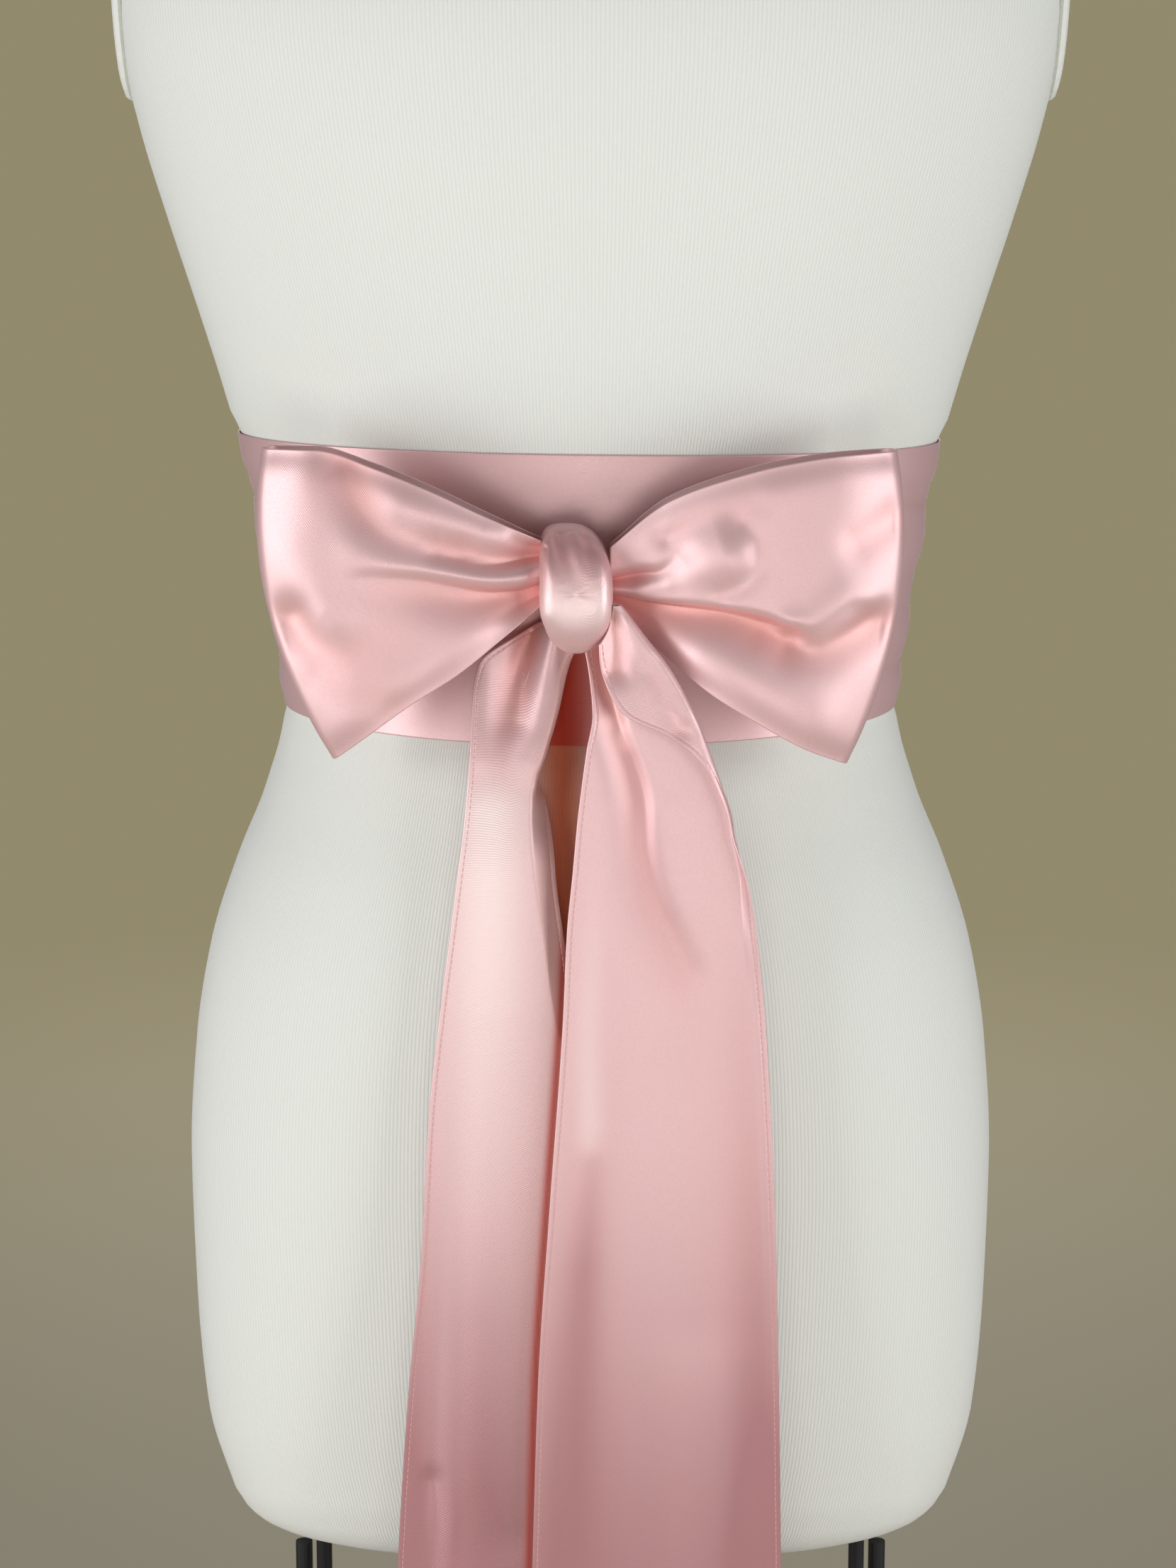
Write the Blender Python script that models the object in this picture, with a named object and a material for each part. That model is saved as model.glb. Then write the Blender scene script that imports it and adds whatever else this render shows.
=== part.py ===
"""Satin sash tied in a bow round a limbless dress form on a four-post stand.

Metres, +Z up, front towards -Y. The origin is the middle of the base plate's underside.
Heights are measured from the floor. "Fore" is a distance in front of the form's axis.
"""
import math
from collections import namedtuple

import bmesh
import bpy
import numpy as np

# Driving sizes
CLOTH = 0.0014
CLOTH_GAP = 0.0004
SEAM_GAP = 0.0003
RIM_GAP = 0.0004
BAND_BOTTOM = 0.641
BAND_TOP = 0.753
BAND_TILT = 0.0018
BAND_RIDE_UP = 0.003
BAND_SINK = 0.0021
KNOT_X = -0.0055
KNOT_HEIGHT = 0.7045
KNOT_HALF_WIDTH = 0.0138
KNOT_HALF_HEIGHT = 0.0234
KNOT_TOP_SQUARENESS = 3.0
KNOT_LOW_SQUARENESS = 2.2
LOOP_START = 0.0143
LOOP_EASE = 0.020
LOOP_BACK_FOLDS = 0.3
FOLD_HALF_LEAST = 0.0042
ROLL_ANGLE = 28
ROLL_SHARE = 0.80
END_ROLL = 0.0030
TAIL_EASE_SHARE = 0.050
TAIL_END = 0.130
FORM_BOTTOM = 0.298
HEM_LEVEL = 0.3065
HEM_RISE = 0.0125
HEM_FADE = 0.090
ARM_CUT = 0.1812
ARM_PLATE_HEIGHT = 0.949
NECK_DEPTH_SHARE = 0.93
BASE_THICKNESS = 0.006
BASE_HALF_WIDTH = 0.150
BASE_HALF_DEPTH = 0.130
BASE_EDGE = 0.0015
BASE_SHIFT = 0.006
POST_RADIUS = 0.0035
POST_X = 0.1190
POST_FRONT = 0.052

# Angles from the back between which the band's pleats fade out, and the leaf turns between which
# its reach counts, in degrees
PLEATS_FULL = 94
PLEATS_GONE = 132
REACH_NONE = 60
REACH_FULL = 120

# Mesh steps
ROUND_STEPS = 44
BAND_ROWS = 11
LOOP_FRONT_STEPS = 14
LOOP_TURN_STEPS = 5
LOOP_BACK_STEPS = 7
LOOP_ROWS = 18
TAIL_STEPS = 34
TAIL_CROWDING = 1.55
TAIL_PANEL_ROWS = 12
TAIL_LEAF_ROWS = 6
LEAF_CROWDING = 1.3
PATH_STEPS = 24
KNOT_STEPS = 28
OVAL_STEPS = 36
POST_STEPS = 16

SATIN = (0.86, 0.60, 0.58)
JERSEY = (0.86, 0.86, 0.81)
BLACK = (0.02, 0.02, 0.022)

# The torso's level sections, from the hem to the top of the neck
Torso = namedtuple("Torso", "height half_width front back squareness")
TORSO = (
    Torso(0.306, 0.1510, 0.0880, 0.104, 2.60),
    Torso(0.345, 0.1622, 0.0940, 0.113, 2.50),
    Torso(0.395, 0.1660, 0.1000, 0.121, 2.45),
    Torso(0.455, 0.1672, 0.1060, 0.125, 2.40),
    Torso(0.505, 0.1640, 0.1095, 0.122, 2.35),
    Torso(0.545, 0.1572, 0.1105, 0.115, 2.30),
    Torso(0.580, 0.1458, 0.1080, 0.104, 2.25),
    Torso(0.610, 0.1336, 0.1030, 0.094, 2.20),
    Torso(0.640, 0.1262, 0.0980, 0.086, 2.15),
    Torso(0.670, 0.1288, 0.0965, 0.083, 2.15),
    Torso(0.704, 0.1336, 0.0960, 0.083, 2.15),
    Torso(0.740, 0.1396, 0.0962, 0.086, 2.20),
    Torso(0.773, 0.1484, 0.0980, 0.091, 2.20),
    Torso(0.808, 0.1590, 0.1020, 0.097, 2.25),
    Torso(0.841, 0.1693, 0.1080, 0.103, 2.30),
    Torso(0.875, 0.1790, 0.1145, 0.108, 2.35),
    Torso(0.915, 0.1870, 0.1180, 0.111, 2.40),
    Torso(0.955, 0.1895, 0.1150, 0.112, 2.40),
    Torso(0.995, 0.1865, 0.1060, 0.109, 2.40),
    Torso(1.025, 0.1770, 0.0950, 0.101, 2.35),
    Torso(1.046, 0.1540, 0.0830, 0.090, 2.30),
    Torso(1.060, 0.1200, 0.0710, 0.079, 2.20),
    Torso(1.070, 0.0890, 0.0610, 0.069, 2.10),
    Torso(1.082, 0.0660, 0.0540, 0.061, 2.05),
    Torso(1.105, 0.0560, 0.0500, 0.056, 2.00),
    Torso(1.130, 0.0545, 0.0485, 0.054, 2.00),
)

# Heights of the torso's rings below and above the band, and how the hem turns under
RINGS_BELOW_BAND = (0.311, 0.325, 0.345, 0.375, 0.410, 0.445, 0.480, 0.510, 0.535, 0.558, 0.580, 0.601, 0.620, 0.633)
RINGS_ABOVE_BAND = (0.760, 0.773, 0.795, 0.820, 0.845, 0.870, 0.890, 0.915, 0.940, 0.965, 0.990, 1.010, 1.028,
                    1.043, 1.054, 1.063, 1.071, 1.082, 1.100, 1.130)
HemTurn = namedtuple("HemTurn", "height inset rise_share")
HEM_TURN = (
    HemTurn(0.2980, 0.0170, 0.0),
    HemTurn(0.2990, 0.0095, 0.2),
    HemTurn(0.3025, 0.0040, 0.6),
    HemTurn(HEM_LEVEL, 0.0012, 1.0),
)

# Pleats that run along the band: share of its height from the lower edge, and how far they stand out
Pleat = namedtuple("Pleat", "share half_share depth")
PLEATS = (
    Pleat(0.09, 0.05, 0.0012),
    Pleat(0.30, 0.09, 0.0016),
    Pleat(0.63, 0.10, 0.0018),
    Pleat(0.91, 0.07, 0.0014),
)

# A loop's sections, by their share of the way from the knot to the turned end.
# Out is the distance from the knot's middle, up the height above it.
LoopSection = namedtuple("LoopSection", "share top_out top_up low_out low_up")
LOOP_LEFT_SECTIONS = (
    LoopSection(0.0, LOOP_START, 0.0185, LOOP_START, -0.0058),
    LoopSection(0.2, 0.0345, 0.0285, 0.0285, -0.0190),
    LoopSection(0.4, 0.0555, 0.0385, 0.0440, -0.0310),
    LoopSection(0.6, 0.0765, 0.0468, 0.0600, -0.0412),
    LoopSection(0.8, 0.0975, 0.0530, 0.0760, -0.0528),
    LoopSection(1.0, 0.1168, 0.0532, 0.0918, -0.0650),
)
LOOP_RIGHT_SECTIONS = (
    LoopSection(0.0, LOOP_START, 0.0160, LOOP_START, -0.0076),
    LoopSection(0.2, 0.0345, 0.0335, 0.0310, -0.0240),
    LoopSection(0.4, 0.0560, 0.0420, 0.0490, -0.0380),
    LoopSection(0.6, 0.0773, 0.0476, 0.0667, -0.0485),
    LoopSection(0.8, 0.0986, 0.0508, 0.0846, -0.0588),
    LoopSection(1.0, 0.1196, 0.0522, 0.1024, -0.0668),
)
Loop = namedtuple("Loop", "side sections end_bow fore_front fore_back fore_end turn_radius bulge low_recess")
LOOP_LEFT = Loop(-1, LOOP_LEFT_SECTIONS, 0.0118, 0.1220, 0.1105, 0.1170, 0.0065, 0.0072, 0.000)
LOOP_RIGHT = Loop(1, LOOP_RIGHT_SECTIONS, 0.0100, 0.1190, 0.1070, 0.1165, 0.0070, 0.0082, 0.006)

# Folds of the loops: a path of (out, up) points, and the depth and half width at its start and end.
# A positive depth is a trough and a negative one a ridge. Above and below give the two sides' steepness.
Fold = namedtuple("Fold", "name path depth_start depth_end half_start half_end above below",
                  defaults=(1.0, 1.0))
LOOP_LEFT_FOLDS = (
    Fold("upper crease", ((0.0128, 0.0127), (0.0202, 0.0114), (0.0286, 0.0101), (0.0354, 0.0104),
                          (0.0421, 0.0126), (0.0500, 0.0146)), 0.0060, 0.0018, 0.0032, 0.0062, 1.7, 0.7),
    Fold("soft valley", ((0.0450, 0.0130), (0.0570, 0.0155), (0.0680, 0.0200), (0.0760, 0.0270),
                         (0.0820, 0.0360), (0.0860, 0.0460)), 0.0016, 0.0034, 0.0070, 0.0100, 1.3, 0.9),
    Fold("lower crease", ((0.0128, 0.0019), (0.0218, -0.0004), (0.0303, -0.0004), (0.0387, 0.0008),
                          (0.0472, 0.0026), (0.0573, 0.0045), (0.0674, 0.0053), (0.0758, 0.0056),
                          (0.0817, 0.0046), (0.0856, 0.0016), (0.0868, -0.0034), (0.0846, -0.0068)),
         0.0064, 0.0034, 0.0034, 0.0044, 0.5, 2.7),
    Fold("outer trough", ((0.1070, -0.0102), (0.1028, -0.0169), (0.0944, -0.0220), (0.0843, -0.0245),
                          (0.0724, -0.0237)), 0.0032, 0.0010, 0.0070, 0.0110, 1.0, 1.3),
    Fold("middle roll", ((0.0200, 0.0052), (0.0400, 0.0072), (0.0600, 0.0110), (0.0780, 0.0150)),
         -0.0016, -0.0014, 0.0045, 0.0110),
)
LOOP_RIGHT_FOLDS = (
    Fold("upper crease", ((0.0128, 0.0032), (0.0186, 0.0046), (0.0245, 0.0058), (0.0296, 0.0061),
                          (0.0330, 0.0075), (0.0390, 0.0130)), 0.0056, 0.0010, 0.0032, 0.0060, 0.6, 1.3),
    Fold("lower crease", ((0.0128, -0.0028), (0.0169, -0.0035), (0.0228, -0.0051), (0.0303, -0.0060),
                          (0.0388, -0.0064), (0.0473, -0.0068), (0.0557, -0.0078), (0.0641, -0.0092),
                          (0.0726, -0.0114), (0.0793, -0.0138)), 0.0062, 0.0046, 0.0034, 0.0040, 0.5, 2.8),
    Fold("curled trough", ((0.0690, -0.0175), (0.0780, -0.0215), (0.0895, -0.0225), (0.1000, -0.0185),
                           (0.1080, -0.0140), (0.1140, -0.0095)), 0.0016, 0.0036, 0.0080, 0.0066, 0.9, 1.4),
    Fold("curled rim", ((0.0793, -0.0128), (0.0878, -0.0110), (0.0962, -0.0045), (0.1029, -0.0010),
                        (0.1096, -0.0018), (0.1148, -0.0070)), -0.0012, -0.0012, 0.0036, 0.0050, 1.6, 0.8),
    Fold("round bump", ((0.0300, 0.0040), (0.0450, 0.0095), (0.0560, 0.0135)), -0.0012, -0.0034, 0.0048, 0.0082),
)

# The tails' sections, from the knot down. Left and right are the shown edges, leaf is the turned part beyond
# the right edge and turn is how far round it is turned, in degrees: forward if positive.
TailSection = namedtuple("TailSection", "height left right fore leaf turn")
TAIL_LEFT_SECTIONS = (
    TailSection(0.6960, -0.0200, -0.0080, 0.1060, 0.012, -160),
    TailSection(0.6870, -0.0310, -0.0082, 0.1060, 0.014, -170),
    TailSection(0.6750, -0.0440, -0.0107, 0.1070, 0.018, -175),
    TailSection(0.6620, -0.0450, -0.0116, 0.1095, 0.020, -175),
    TailSection(0.6410, -0.0460, -0.0170, 0.1140, 0.016, -140),
    TailSection(0.6190, -0.0478, -0.0234, 0.1170, 0.012, -70),
    TailSection(0.5970, -0.0505, -0.0205, 0.1190, 0.010, -50),
    TailSection(0.5700, -0.0540, -0.0160, 0.1200, 0.009, -50),
    TailSection(0.5400, -0.0580, -0.0128, 0.1205, 0.009, -30),
    TailSection(0.5000, -0.0625, -0.0010, 0.1205, 0.009, -10),
    TailSection(0.4400, -0.0662, 0.0110, 0.1205, 0.009, 0),
    TailSection(0.3860, -0.0715, 0.0190, 0.1205, 0.009, 0),
    TailSection(0.3150, -0.0763, 0.0230, 0.1205, 0.009, 0),
    TailSection(0.1300, -0.0840, 0.0200, 0.1205, 0.009, 0),
)
TAIL_RIGHT_SECTIONS = (
    TailSection(0.7050, 0.0060, 0.0095, 0.1235, 0.010, 150),
    TailSection(0.6890, -0.0010, 0.0200, 0.1245, 0.020, 175),
    TailSection(0.6750, 0.0000, 0.0300, 0.1260, 0.0245, 178),
    TailSection(0.6580, 0.0007, 0.0392, 0.1270, 0.0165, 178),
    TailSection(0.6450, -0.0015, 0.0443, 0.1275, 0.0105, 175),
    TailSection(0.6320, -0.0033, 0.0490, 0.1280, 0.0075, 160),
    TailSection(0.6180, -0.0050, 0.0533, 0.1285, 0.0065, 130),
    TailSection(0.5980, -0.0068, 0.0552, 0.1285, 0.006, 70),
    TailSection(0.5750, -0.0090, 0.0572, 0.1285, 0.006, 20),
    TailSection(0.5400, -0.0106, 0.0607, 0.1285, 0.006, 0),
    TailSection(0.4630, -0.0160, 0.0652, 0.1285, 0.006, 0),
    TailSection(0.3960, -0.0204, 0.0673, 0.1285, 0.006, 0),
    TailSection(0.3170, -0.0230, 0.0690, 0.1285, 0.006, 0),
    TailSection(0.1300, -0.0290, 0.0725, 0.1285, 0.006, 0),
)
Tail = namedtuple("Tail", "sections rim_start rim_end turn_radius")
TAIL_LEFT = Tail(TAIL_LEFT_SECTIONS, -148, -98, 0.0026)
TAIL_RIGHT = Tail(TAIL_RIGHT_SECTIONS, -78, -8, 0.0026)

# Folds of the tails: a path of (x, height) points
TAIL_LEFT_FOLDS = (
    Fold("channel", ((-0.0255, 0.690), (-0.0290, 0.682), (-0.0310, 0.673), (-0.0318, 0.664), (-0.0310, 0.655)),
         0.0062, 0.0030, 0.0046, 0.0066, 0.6, 1.4),
    Fold("front lobe", ((-0.0150, 0.690), (-0.0170, 0.680), (-0.0191, 0.670), (-0.0215, 0.656), (-0.0250, 0.640)),
         -0.0035, -0.0016, 0.0050, 0.0080),
    Fold("long ripple", ((-0.0450, 0.560), (-0.0480, 0.450), (-0.0510, 0.330), (-0.0560, 0.150)),
         -0.0020, -0.0030, 0.0110, 0.0140),
    Fold("edge ripple", ((-0.0560, 0.480), (-0.0600, 0.420), (-0.0640, 0.320), (-0.0700, 0.150)),
         0.0012, 0.0020, 0.0060, 0.0080),
)
TAIL_RIGHT_FOLDS = (
    Fold("main valley", ((0.0050, 0.680), (0.0075, 0.665), (0.0107, 0.652), (0.0160, 0.639), (0.0198, 0.624),
                         (0.0200, 0.608), (0.0245, 0.588), (0.0365, 0.561)), 0.0042, 0.0010, 0.0045, 0.0090, 0.6, 1.5),
    Fold("left ridge", ((0.0030, 0.655), (0.0060, 0.625), (0.0080, 0.590), (0.0080, 0.540)),
         -0.0018, -0.0010, 0.0060, 0.0120),
    Fold("soft trough", ((-0.0040, 0.490), (-0.0060, 0.440), (-0.0080, 0.390), (-0.0090, 0.300)),
         0.0022, 0.0015, 0.0090, 0.0130, 1.4, 0.8),
    Fold("right ripple", ((0.0600, 0.540), (0.0630, 0.450), (0.0650, 0.330), (0.0680, 0.150)),
         0.0018, 0.0024, 0.0080, 0.0100),
    Fold("middle ridge", ((0.0330, 0.420), (0.0340, 0.320), (0.0330, 0.150)), -0.0020, -0.0030, 0.0140, 0.0160),
)

# The knot's level rings from back to front, as shares of its shown outline
KnotRing = namedtuple("KnotRing", "fore width_share height_share")
KNOT_RINGS = (
    KnotRing(0.0960, 0.72, 0.66),
    KnotRing(0.0990, 0.90, 0.85),
    KnotRing(0.1040, 1.00, 1.00),
    KnotRing(0.1248, 1.00, 1.00),
    KnotRing(0.1288, 0.975, 0.90),
    KnotRing(0.1318, 0.92, 0.74),
    KnotRing(0.1337, 0.82, 0.54),
    KnotRing(0.1347, 0.66, 0.32),
    KnotRing(0.1350, 0.40, 0.14),
)


def clear_scene():
    for thing in list(bpy.data.objects):
        bpy.data.objects.remove(thing, do_unlink=True)


def make_material(name, color, roughness, metallic=0.0):
    material = bpy.data.materials.new(name)
    material.use_nodes = True
    shader = material.node_tree.nodes["Principled BSDF"]
    shader.inputs["Base Color"].default_value = (*color, 1.0)
    shader.inputs["Roughness"].default_value = roughness
    shader.inputs["Metallic"].default_value = metallic
    return material


def add_solid(name, points, faces, material):
    mesh = bpy.data.meshes.new(name)
    mesh.from_pydata([tuple(map(float, point)) for point in points], [], faces)
    body = bmesh.new()
    body.from_mesh(mesh)
    bmesh.ops.recalc_face_normals(body, faces=body.faces)
    body.to_mesh(mesh)
    body.free()
    mesh.shade_smooth()
    mesh.set_sharp_from_angle(angle=math.radians(40))
    mesh.materials.append(material)
    solid = bpy.data.objects.new(name, mesh)
    bpy.context.collection.objects.link(solid)
    return solid


def smooth_step(value):
    value = np.clip(value, 0.0, 1.0)
    return value * value * (3.0 - 2.0 * value)


def smooth_curve(keys, values, at):
    """Reads a smooth curve through the values, with no overshoot. The keys rise."""
    keys = np.asarray(keys, float)
    values = np.asarray(values, float)
    at = np.clip(np.asarray(at, float), keys[0], keys[-1])
    run = np.diff(keys)
    slope = np.diff(values) / run
    tangent = np.zeros_like(values)
    tangent[0] = slope[0]
    tangent[-1] = slope[-1]
    for i in range(1, len(values) - 1):
        if slope[i - 1] * slope[i] > 0.0:
            before = 2.0 * run[i] + run[i - 1]
            after = run[i] + 2.0 * run[i - 1]
            tangent[i] = (before + after) / (before / slope[i - 1] + after / slope[i])
    spot = np.clip(np.searchsorted(keys, at, side="right") - 1, 0, len(run) - 1)
    share = (at - keys[spot]) / run[spot]
    rise = smooth_step(share)
    lead = share * (1.0 - share) ** 2
    trail = share * share * (share - 1.0)
    return (values[spot] * (1.0 - rise) + values[spot + 1] * rise
            + run[spot] * (lead * tangent[spot] + trail * tangent[spot + 1]))


def read_table(rows, field, at):
    """Reads one column of a table at places given in its first column."""
    rows = sorted(rows, key=lambda row: row[0])
    return smooth_curve([row[0] for row in rows], [getattr(row, field) for row in rows], at)


def grid_faces(rows, columns, closed):
    faces = []
    for i in range(rows - 1):
        for j in range(columns if closed else columns - 1):
            k = (j + 1) % columns
            faces.append((i * columns + j, i * columns + k, (i + 1) * columns + k, (i + 1) * columns + j))
    return faces


def wall_solid(name, outer, inner, closed, material):
    """Closes two grids of points, a wall's two sides, into one solid."""
    rows, columns = outer.shape[:2]
    count = rows * columns
    points = np.concatenate((outer.reshape(-1, 3), inner.reshape(-1, 3)))
    faces = grid_faces(rows, columns, closed)
    faces += [tuple(index + count for index in reversed(face)) for face in faces]
    rims = []
    for j in range(columns if closed else columns - 1):
        k = (j + 1) % columns
        rims.append((j, k))
        rims.append(((rows - 1) * columns + k, (rows - 1) * columns + j))
    if not closed:
        for i in range(rows - 1):
            rims.append(((i + 1) * columns, i * columns))
            rims.append((i * columns + columns - 1, (i + 1) * columns + columns - 1))
    faces += [(b, a, a + count, b + count) for a, b in rims]
    return add_solid(name, points, faces, material)


def stack_solid(name, rings, material):
    """Closes a stack of rings into one solid, with a fan at each end."""
    rows, columns = rings.shape[:2]
    points = np.concatenate((rings.reshape(-1, 3), rings[0].mean(axis=0)[None], rings[-1].mean(axis=0)[None]))
    faces = grid_faces(rows, columns, True)
    first = rows * columns
    for j in range(columns):
        k = (j + 1) % columns
        faces.append((k, j, first))
        faces.append(((rows - 1) * columns + j, (rows - 1) * columns + k, first + 1))
    return add_solid(name, points, faces, material)


def grid_normals(points):
    """Unit normals of an open grid of points."""
    along = np.gradient(points, axis=0)
    across = np.gradient(points, axis=1)
    normal = np.cross(along, across)
    return normal / np.linalg.norm(normal, axis=2, keepdims=True)


def path_points(path):
    """A smooth line through a fold's points, in even steps."""
    places = np.arange(len(path))
    steps = np.linspace(0, len(path) - 1, PATH_STEPS)
    return np.stack([smooth_curve(places, [point[i] for point in path], steps) for i in (0, 1)], axis=1)


def fold_depth(fold, first, second):
    """How far one fold moves the cloth back, at places given in its path's two measures."""
    line = path_points(fold.path)
    place = np.stack((first, second), axis=-1)[..., None, :]
    start = line[:-1]
    step = line[1:] - start
    length = np.linalg.norm(step, axis=1)
    share = np.clip(((place - start) * step).sum(axis=-1) / length ** 2, 0.0, 1.0)
    offset = place - (start + share[..., None] * step)
    distance = np.linalg.norm(offset, axis=-1)
    nearest = distance.argmin(axis=-1)[..., None]
    reach = np.concatenate(([0.0], np.cumsum(length)))
    along = np.take_along_axis(reach[:-1] + share * length, nearest, axis=-1)[..., 0] / reach[-1]
    side = np.take_along_axis(step[:, 0] * offset[..., 1] - step[:, 1] * offset[..., 0], nearest, axis=-1)[..., 0]
    gap = np.take_along_axis(distance, nearest, axis=-1)[..., 0]
    half = fold.half_start + (fold.half_end - fold.half_start) * along
    half = np.maximum(half * np.where(side > 0.0, fold.above, fold.below), FOLD_HALF_LEAST)
    depth = fold.depth_start + (fold.depth_end - fold.depth_start) * along
    return depth * np.exp(-(gap / half) ** 2)


def ring_height(height, angle):
    """The height of a ring at an angle: the band rides up at the sides and tilts a little."""
    side = np.sin(angle)
    lift = BAND_RIDE_UP * side ** 2 * math.exp(-((height - BAND_BOTTOM) / 0.05) ** 2)
    tilt = BAND_TILT * side * math.exp(-((height - BAND_TOP) / 0.08) ** 2)
    return height + lift - tilt


def torso_ring(height, angle, inset, rise=0.0):
    """Points of the torso at one level. Angle 0 is the front, and a quarter turn is +X."""
    level = ring_height(height, angle)
    half_width = read_table(TORSO, "half_width", level) - inset
    front = read_table(TORSO, "front", level) - inset
    back = read_table(TORSO, "back", level) - inset
    power = 2.0 / read_table(TORSO, "squareness", level)
    side = np.sin(angle)
    face = np.cos(angle)
    x = half_width * np.sign(side) * np.abs(side) ** power
    fore = np.where(face > 0.0, front, back) * np.sign(face) * np.abs(face) ** power
    x = np.clip(x, -ARM_CUT, ARM_CUT)
    return np.stack((x, -fore, level + rise * face ** 2), axis=-1)


def band_sink(height):
    """How far the band presses the jersey in."""
    above = smooth_step((height - BAND_BOTTOM + 0.009) / 0.010)
    below = smooth_step((BAND_TOP + 0.008 - height) / 0.009)
    return BAND_SINK * above * below


def round_angles():
    return np.arange(ROUND_STEPS) * 2.0 * math.pi / ROUND_STEPS


def band_heights():
    return np.linspace(BAND_BOTTOM, BAND_TOP, BAND_ROWS)


def build_torso(material):
    angle = round_angles()
    rings = [torso_ring(turn.height, angle, turn.inset, HEM_RISE * turn.rise_share) for turn in HEM_TURN]
    for height in (*RINGS_BELOW_BAND, *band_heights(), *RINGS_ABOVE_BAND):
        rise = HEM_RISE * float(smooth_step(1.0 - (height - HEM_LEVEL) / HEM_FADE))
        rings.append(torso_ring(height, angle, band_sink(height), rise))
    rings[0][:, 2] = FORM_BOTTOM
    return stack_solid("form_torso", np.array(rings), material)


def build_band(material):
    angle = round_angles()
    inner = []
    outer = []
    from_back = np.degrees(np.abs(angle - math.pi))
    pleated = smooth_step((PLEATS_GONE - from_back) / (PLEATS_GONE - PLEATS_FULL))
    for height in band_heights():
        share = (height - BAND_BOTTOM) / (BAND_TOP - BAND_BOTTOM)
        stand = sum(pleat.depth * math.exp(-((share - pleat.share) / pleat.half_share) ** 2) for pleat in PLEATS)
        inset = band_sink(height)
        inner.append(torso_ring(height, angle, inset - CLOTH_GAP))
        outer.append(torso_ring(height, angle, inset - CLOTH_GAP - CLOTH - stand * pleated))
    return wall_solid("sash_band", np.array(outer), np.array(inner), True, material)


def loop_profile(loop):
    """The loop's level section with no folds: shares of its reach, distances forward, shares of front layer."""
    start = math.radians(ROLL_ANGLE)
    middle = 1.0 - loop.turn_radius / (loop.sections[-1].top_out - LOOP_START)
    front = np.linspace(0.0, 1.0, LOOP_FRONT_STEPS + 1)
    turn = np.linspace(start, math.pi, LOOP_TURN_STEPS + 1)[1:-1]
    back = np.linspace(1.0, 0.0, LOOP_BACK_STEPS + 1)
    front_end = loop.fore_end + loop.turn_radius * math.cos(start)
    rolled = np.clip((front - ROLL_SHARE) / (1.0 - ROLL_SHARE), 0.0, 1.0) ** 2
    front_fore = loop.fore_front + (front_end + END_ROLL - loop.fore_front) * smooth_step(front)
    front_fore = front_fore + loop.bulge * np.sin(math.pi * front) - END_ROLL * rolled
    turn_fore = loop.fore_end + loop.turn_radius * np.cos(turn)
    back_fore = loop.fore_back + (loop.fore_end - loop.turn_radius - loop.fore_back) * smooth_step(back)
    turn_layer = (1.0 + np.cos(turn)) / (1.0 + math.cos(start))
    front_share = front * (middle + (1.0 - middle) * math.sin(start))
    share = np.concatenate((front_share, middle + (1.0 - middle) * np.sin(turn), middle * back))
    fore = np.concatenate((front_fore, turn_fore, back_fore))
    layer = np.concatenate((np.ones(len(front)), turn_layer, np.zeros(len(back))))
    return share, fore, layer


def loop_grid(loop):
    """The loop's middle surface with no folds, and its places as out, up and share of front layer."""
    down = np.linspace(0.0, 1.0, LOOP_ROWS + 1)
    share, fore, layer = loop_profile(loop)
    top_out, top_up, low_out, low_up = (read_table(loop.sections, field, share)[:, None]
                                        for field in ("top_out", "top_up", "low_out", "low_up"))
    bow = loop.end_bow * (share[:, None] ** 2) * 4.0 * down * (1.0 - down)
    out = top_out + (low_out - top_out) * down + bow
    up = top_up + (low_up - top_up) * down
    recess = loop.low_recess * down ** 2 * (1.0 - smooth_step(share[:, None] / 0.6))
    fore = fore[:, None] - recess + 0.0 * down
    return out, up, fore, layer[:, None] + 0.0 * down


def build_loop(name, loop, folds, material):
    out, up, fore, layer = loop_grid(loop)
    middle = np.stack((KNOT_X + loop.side * out, -fore, KNOT_HEIGHT + up), axis=-1)
    normal = grid_normals(middle) * -loop.side
    level = np.array((0.0, -1.0, 0.0)) * np.sign(layer - 0.5)[..., None]
    away = smooth_step((out - LOOP_START) / LOOP_EASE)[..., None]
    normal = level * (1.0 - away) + normal * away
    depth = sum(fold_depth(fold, out, up) for fold in folds)
    depth = depth * (LOOP_BACK_FOLDS + (1.0 - LOOP_BACK_FOLDS) * layer) * (2.0 * layer - 1.0)
    middle = middle - normal * depth[..., None]
    half = normal * (CLOTH / 2.0)
    return wall_solid(name, middle + half, middle - half, False, material)


def knot_outline(turn, width, height):
    """A point of a squarish oval, by its angle from +X."""
    blend = 0.5 + 0.5 * np.sin(turn)
    power = 2.0 / (KNOT_LOW_SQUARENESS + (KNOT_TOP_SQUARENESS - KNOT_LOW_SQUARENESS) * blend)
    x = width * np.sign(np.cos(turn)) * np.abs(np.cos(turn)) ** power
    z = height * np.sign(np.sin(turn)) * np.abs(np.sin(turn)) ** power
    return x, z


def build_knot(material):
    turn = np.arange(KNOT_STEPS) * 2.0 * math.pi / KNOT_STEPS
    rings = []
    for ring in KNOT_RINGS:
        x, z = knot_outline(turn, KNOT_HALF_WIDTH * ring.width_share, KNOT_HALF_HEIGHT * ring.height_share)
        rings.append(np.stack((KNOT_X + x, np.full_like(x, -ring.fore), KNOT_HEIGHT + z), axis=-1))
    return stack_solid("sash_knot", np.array(rings), material)


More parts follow.
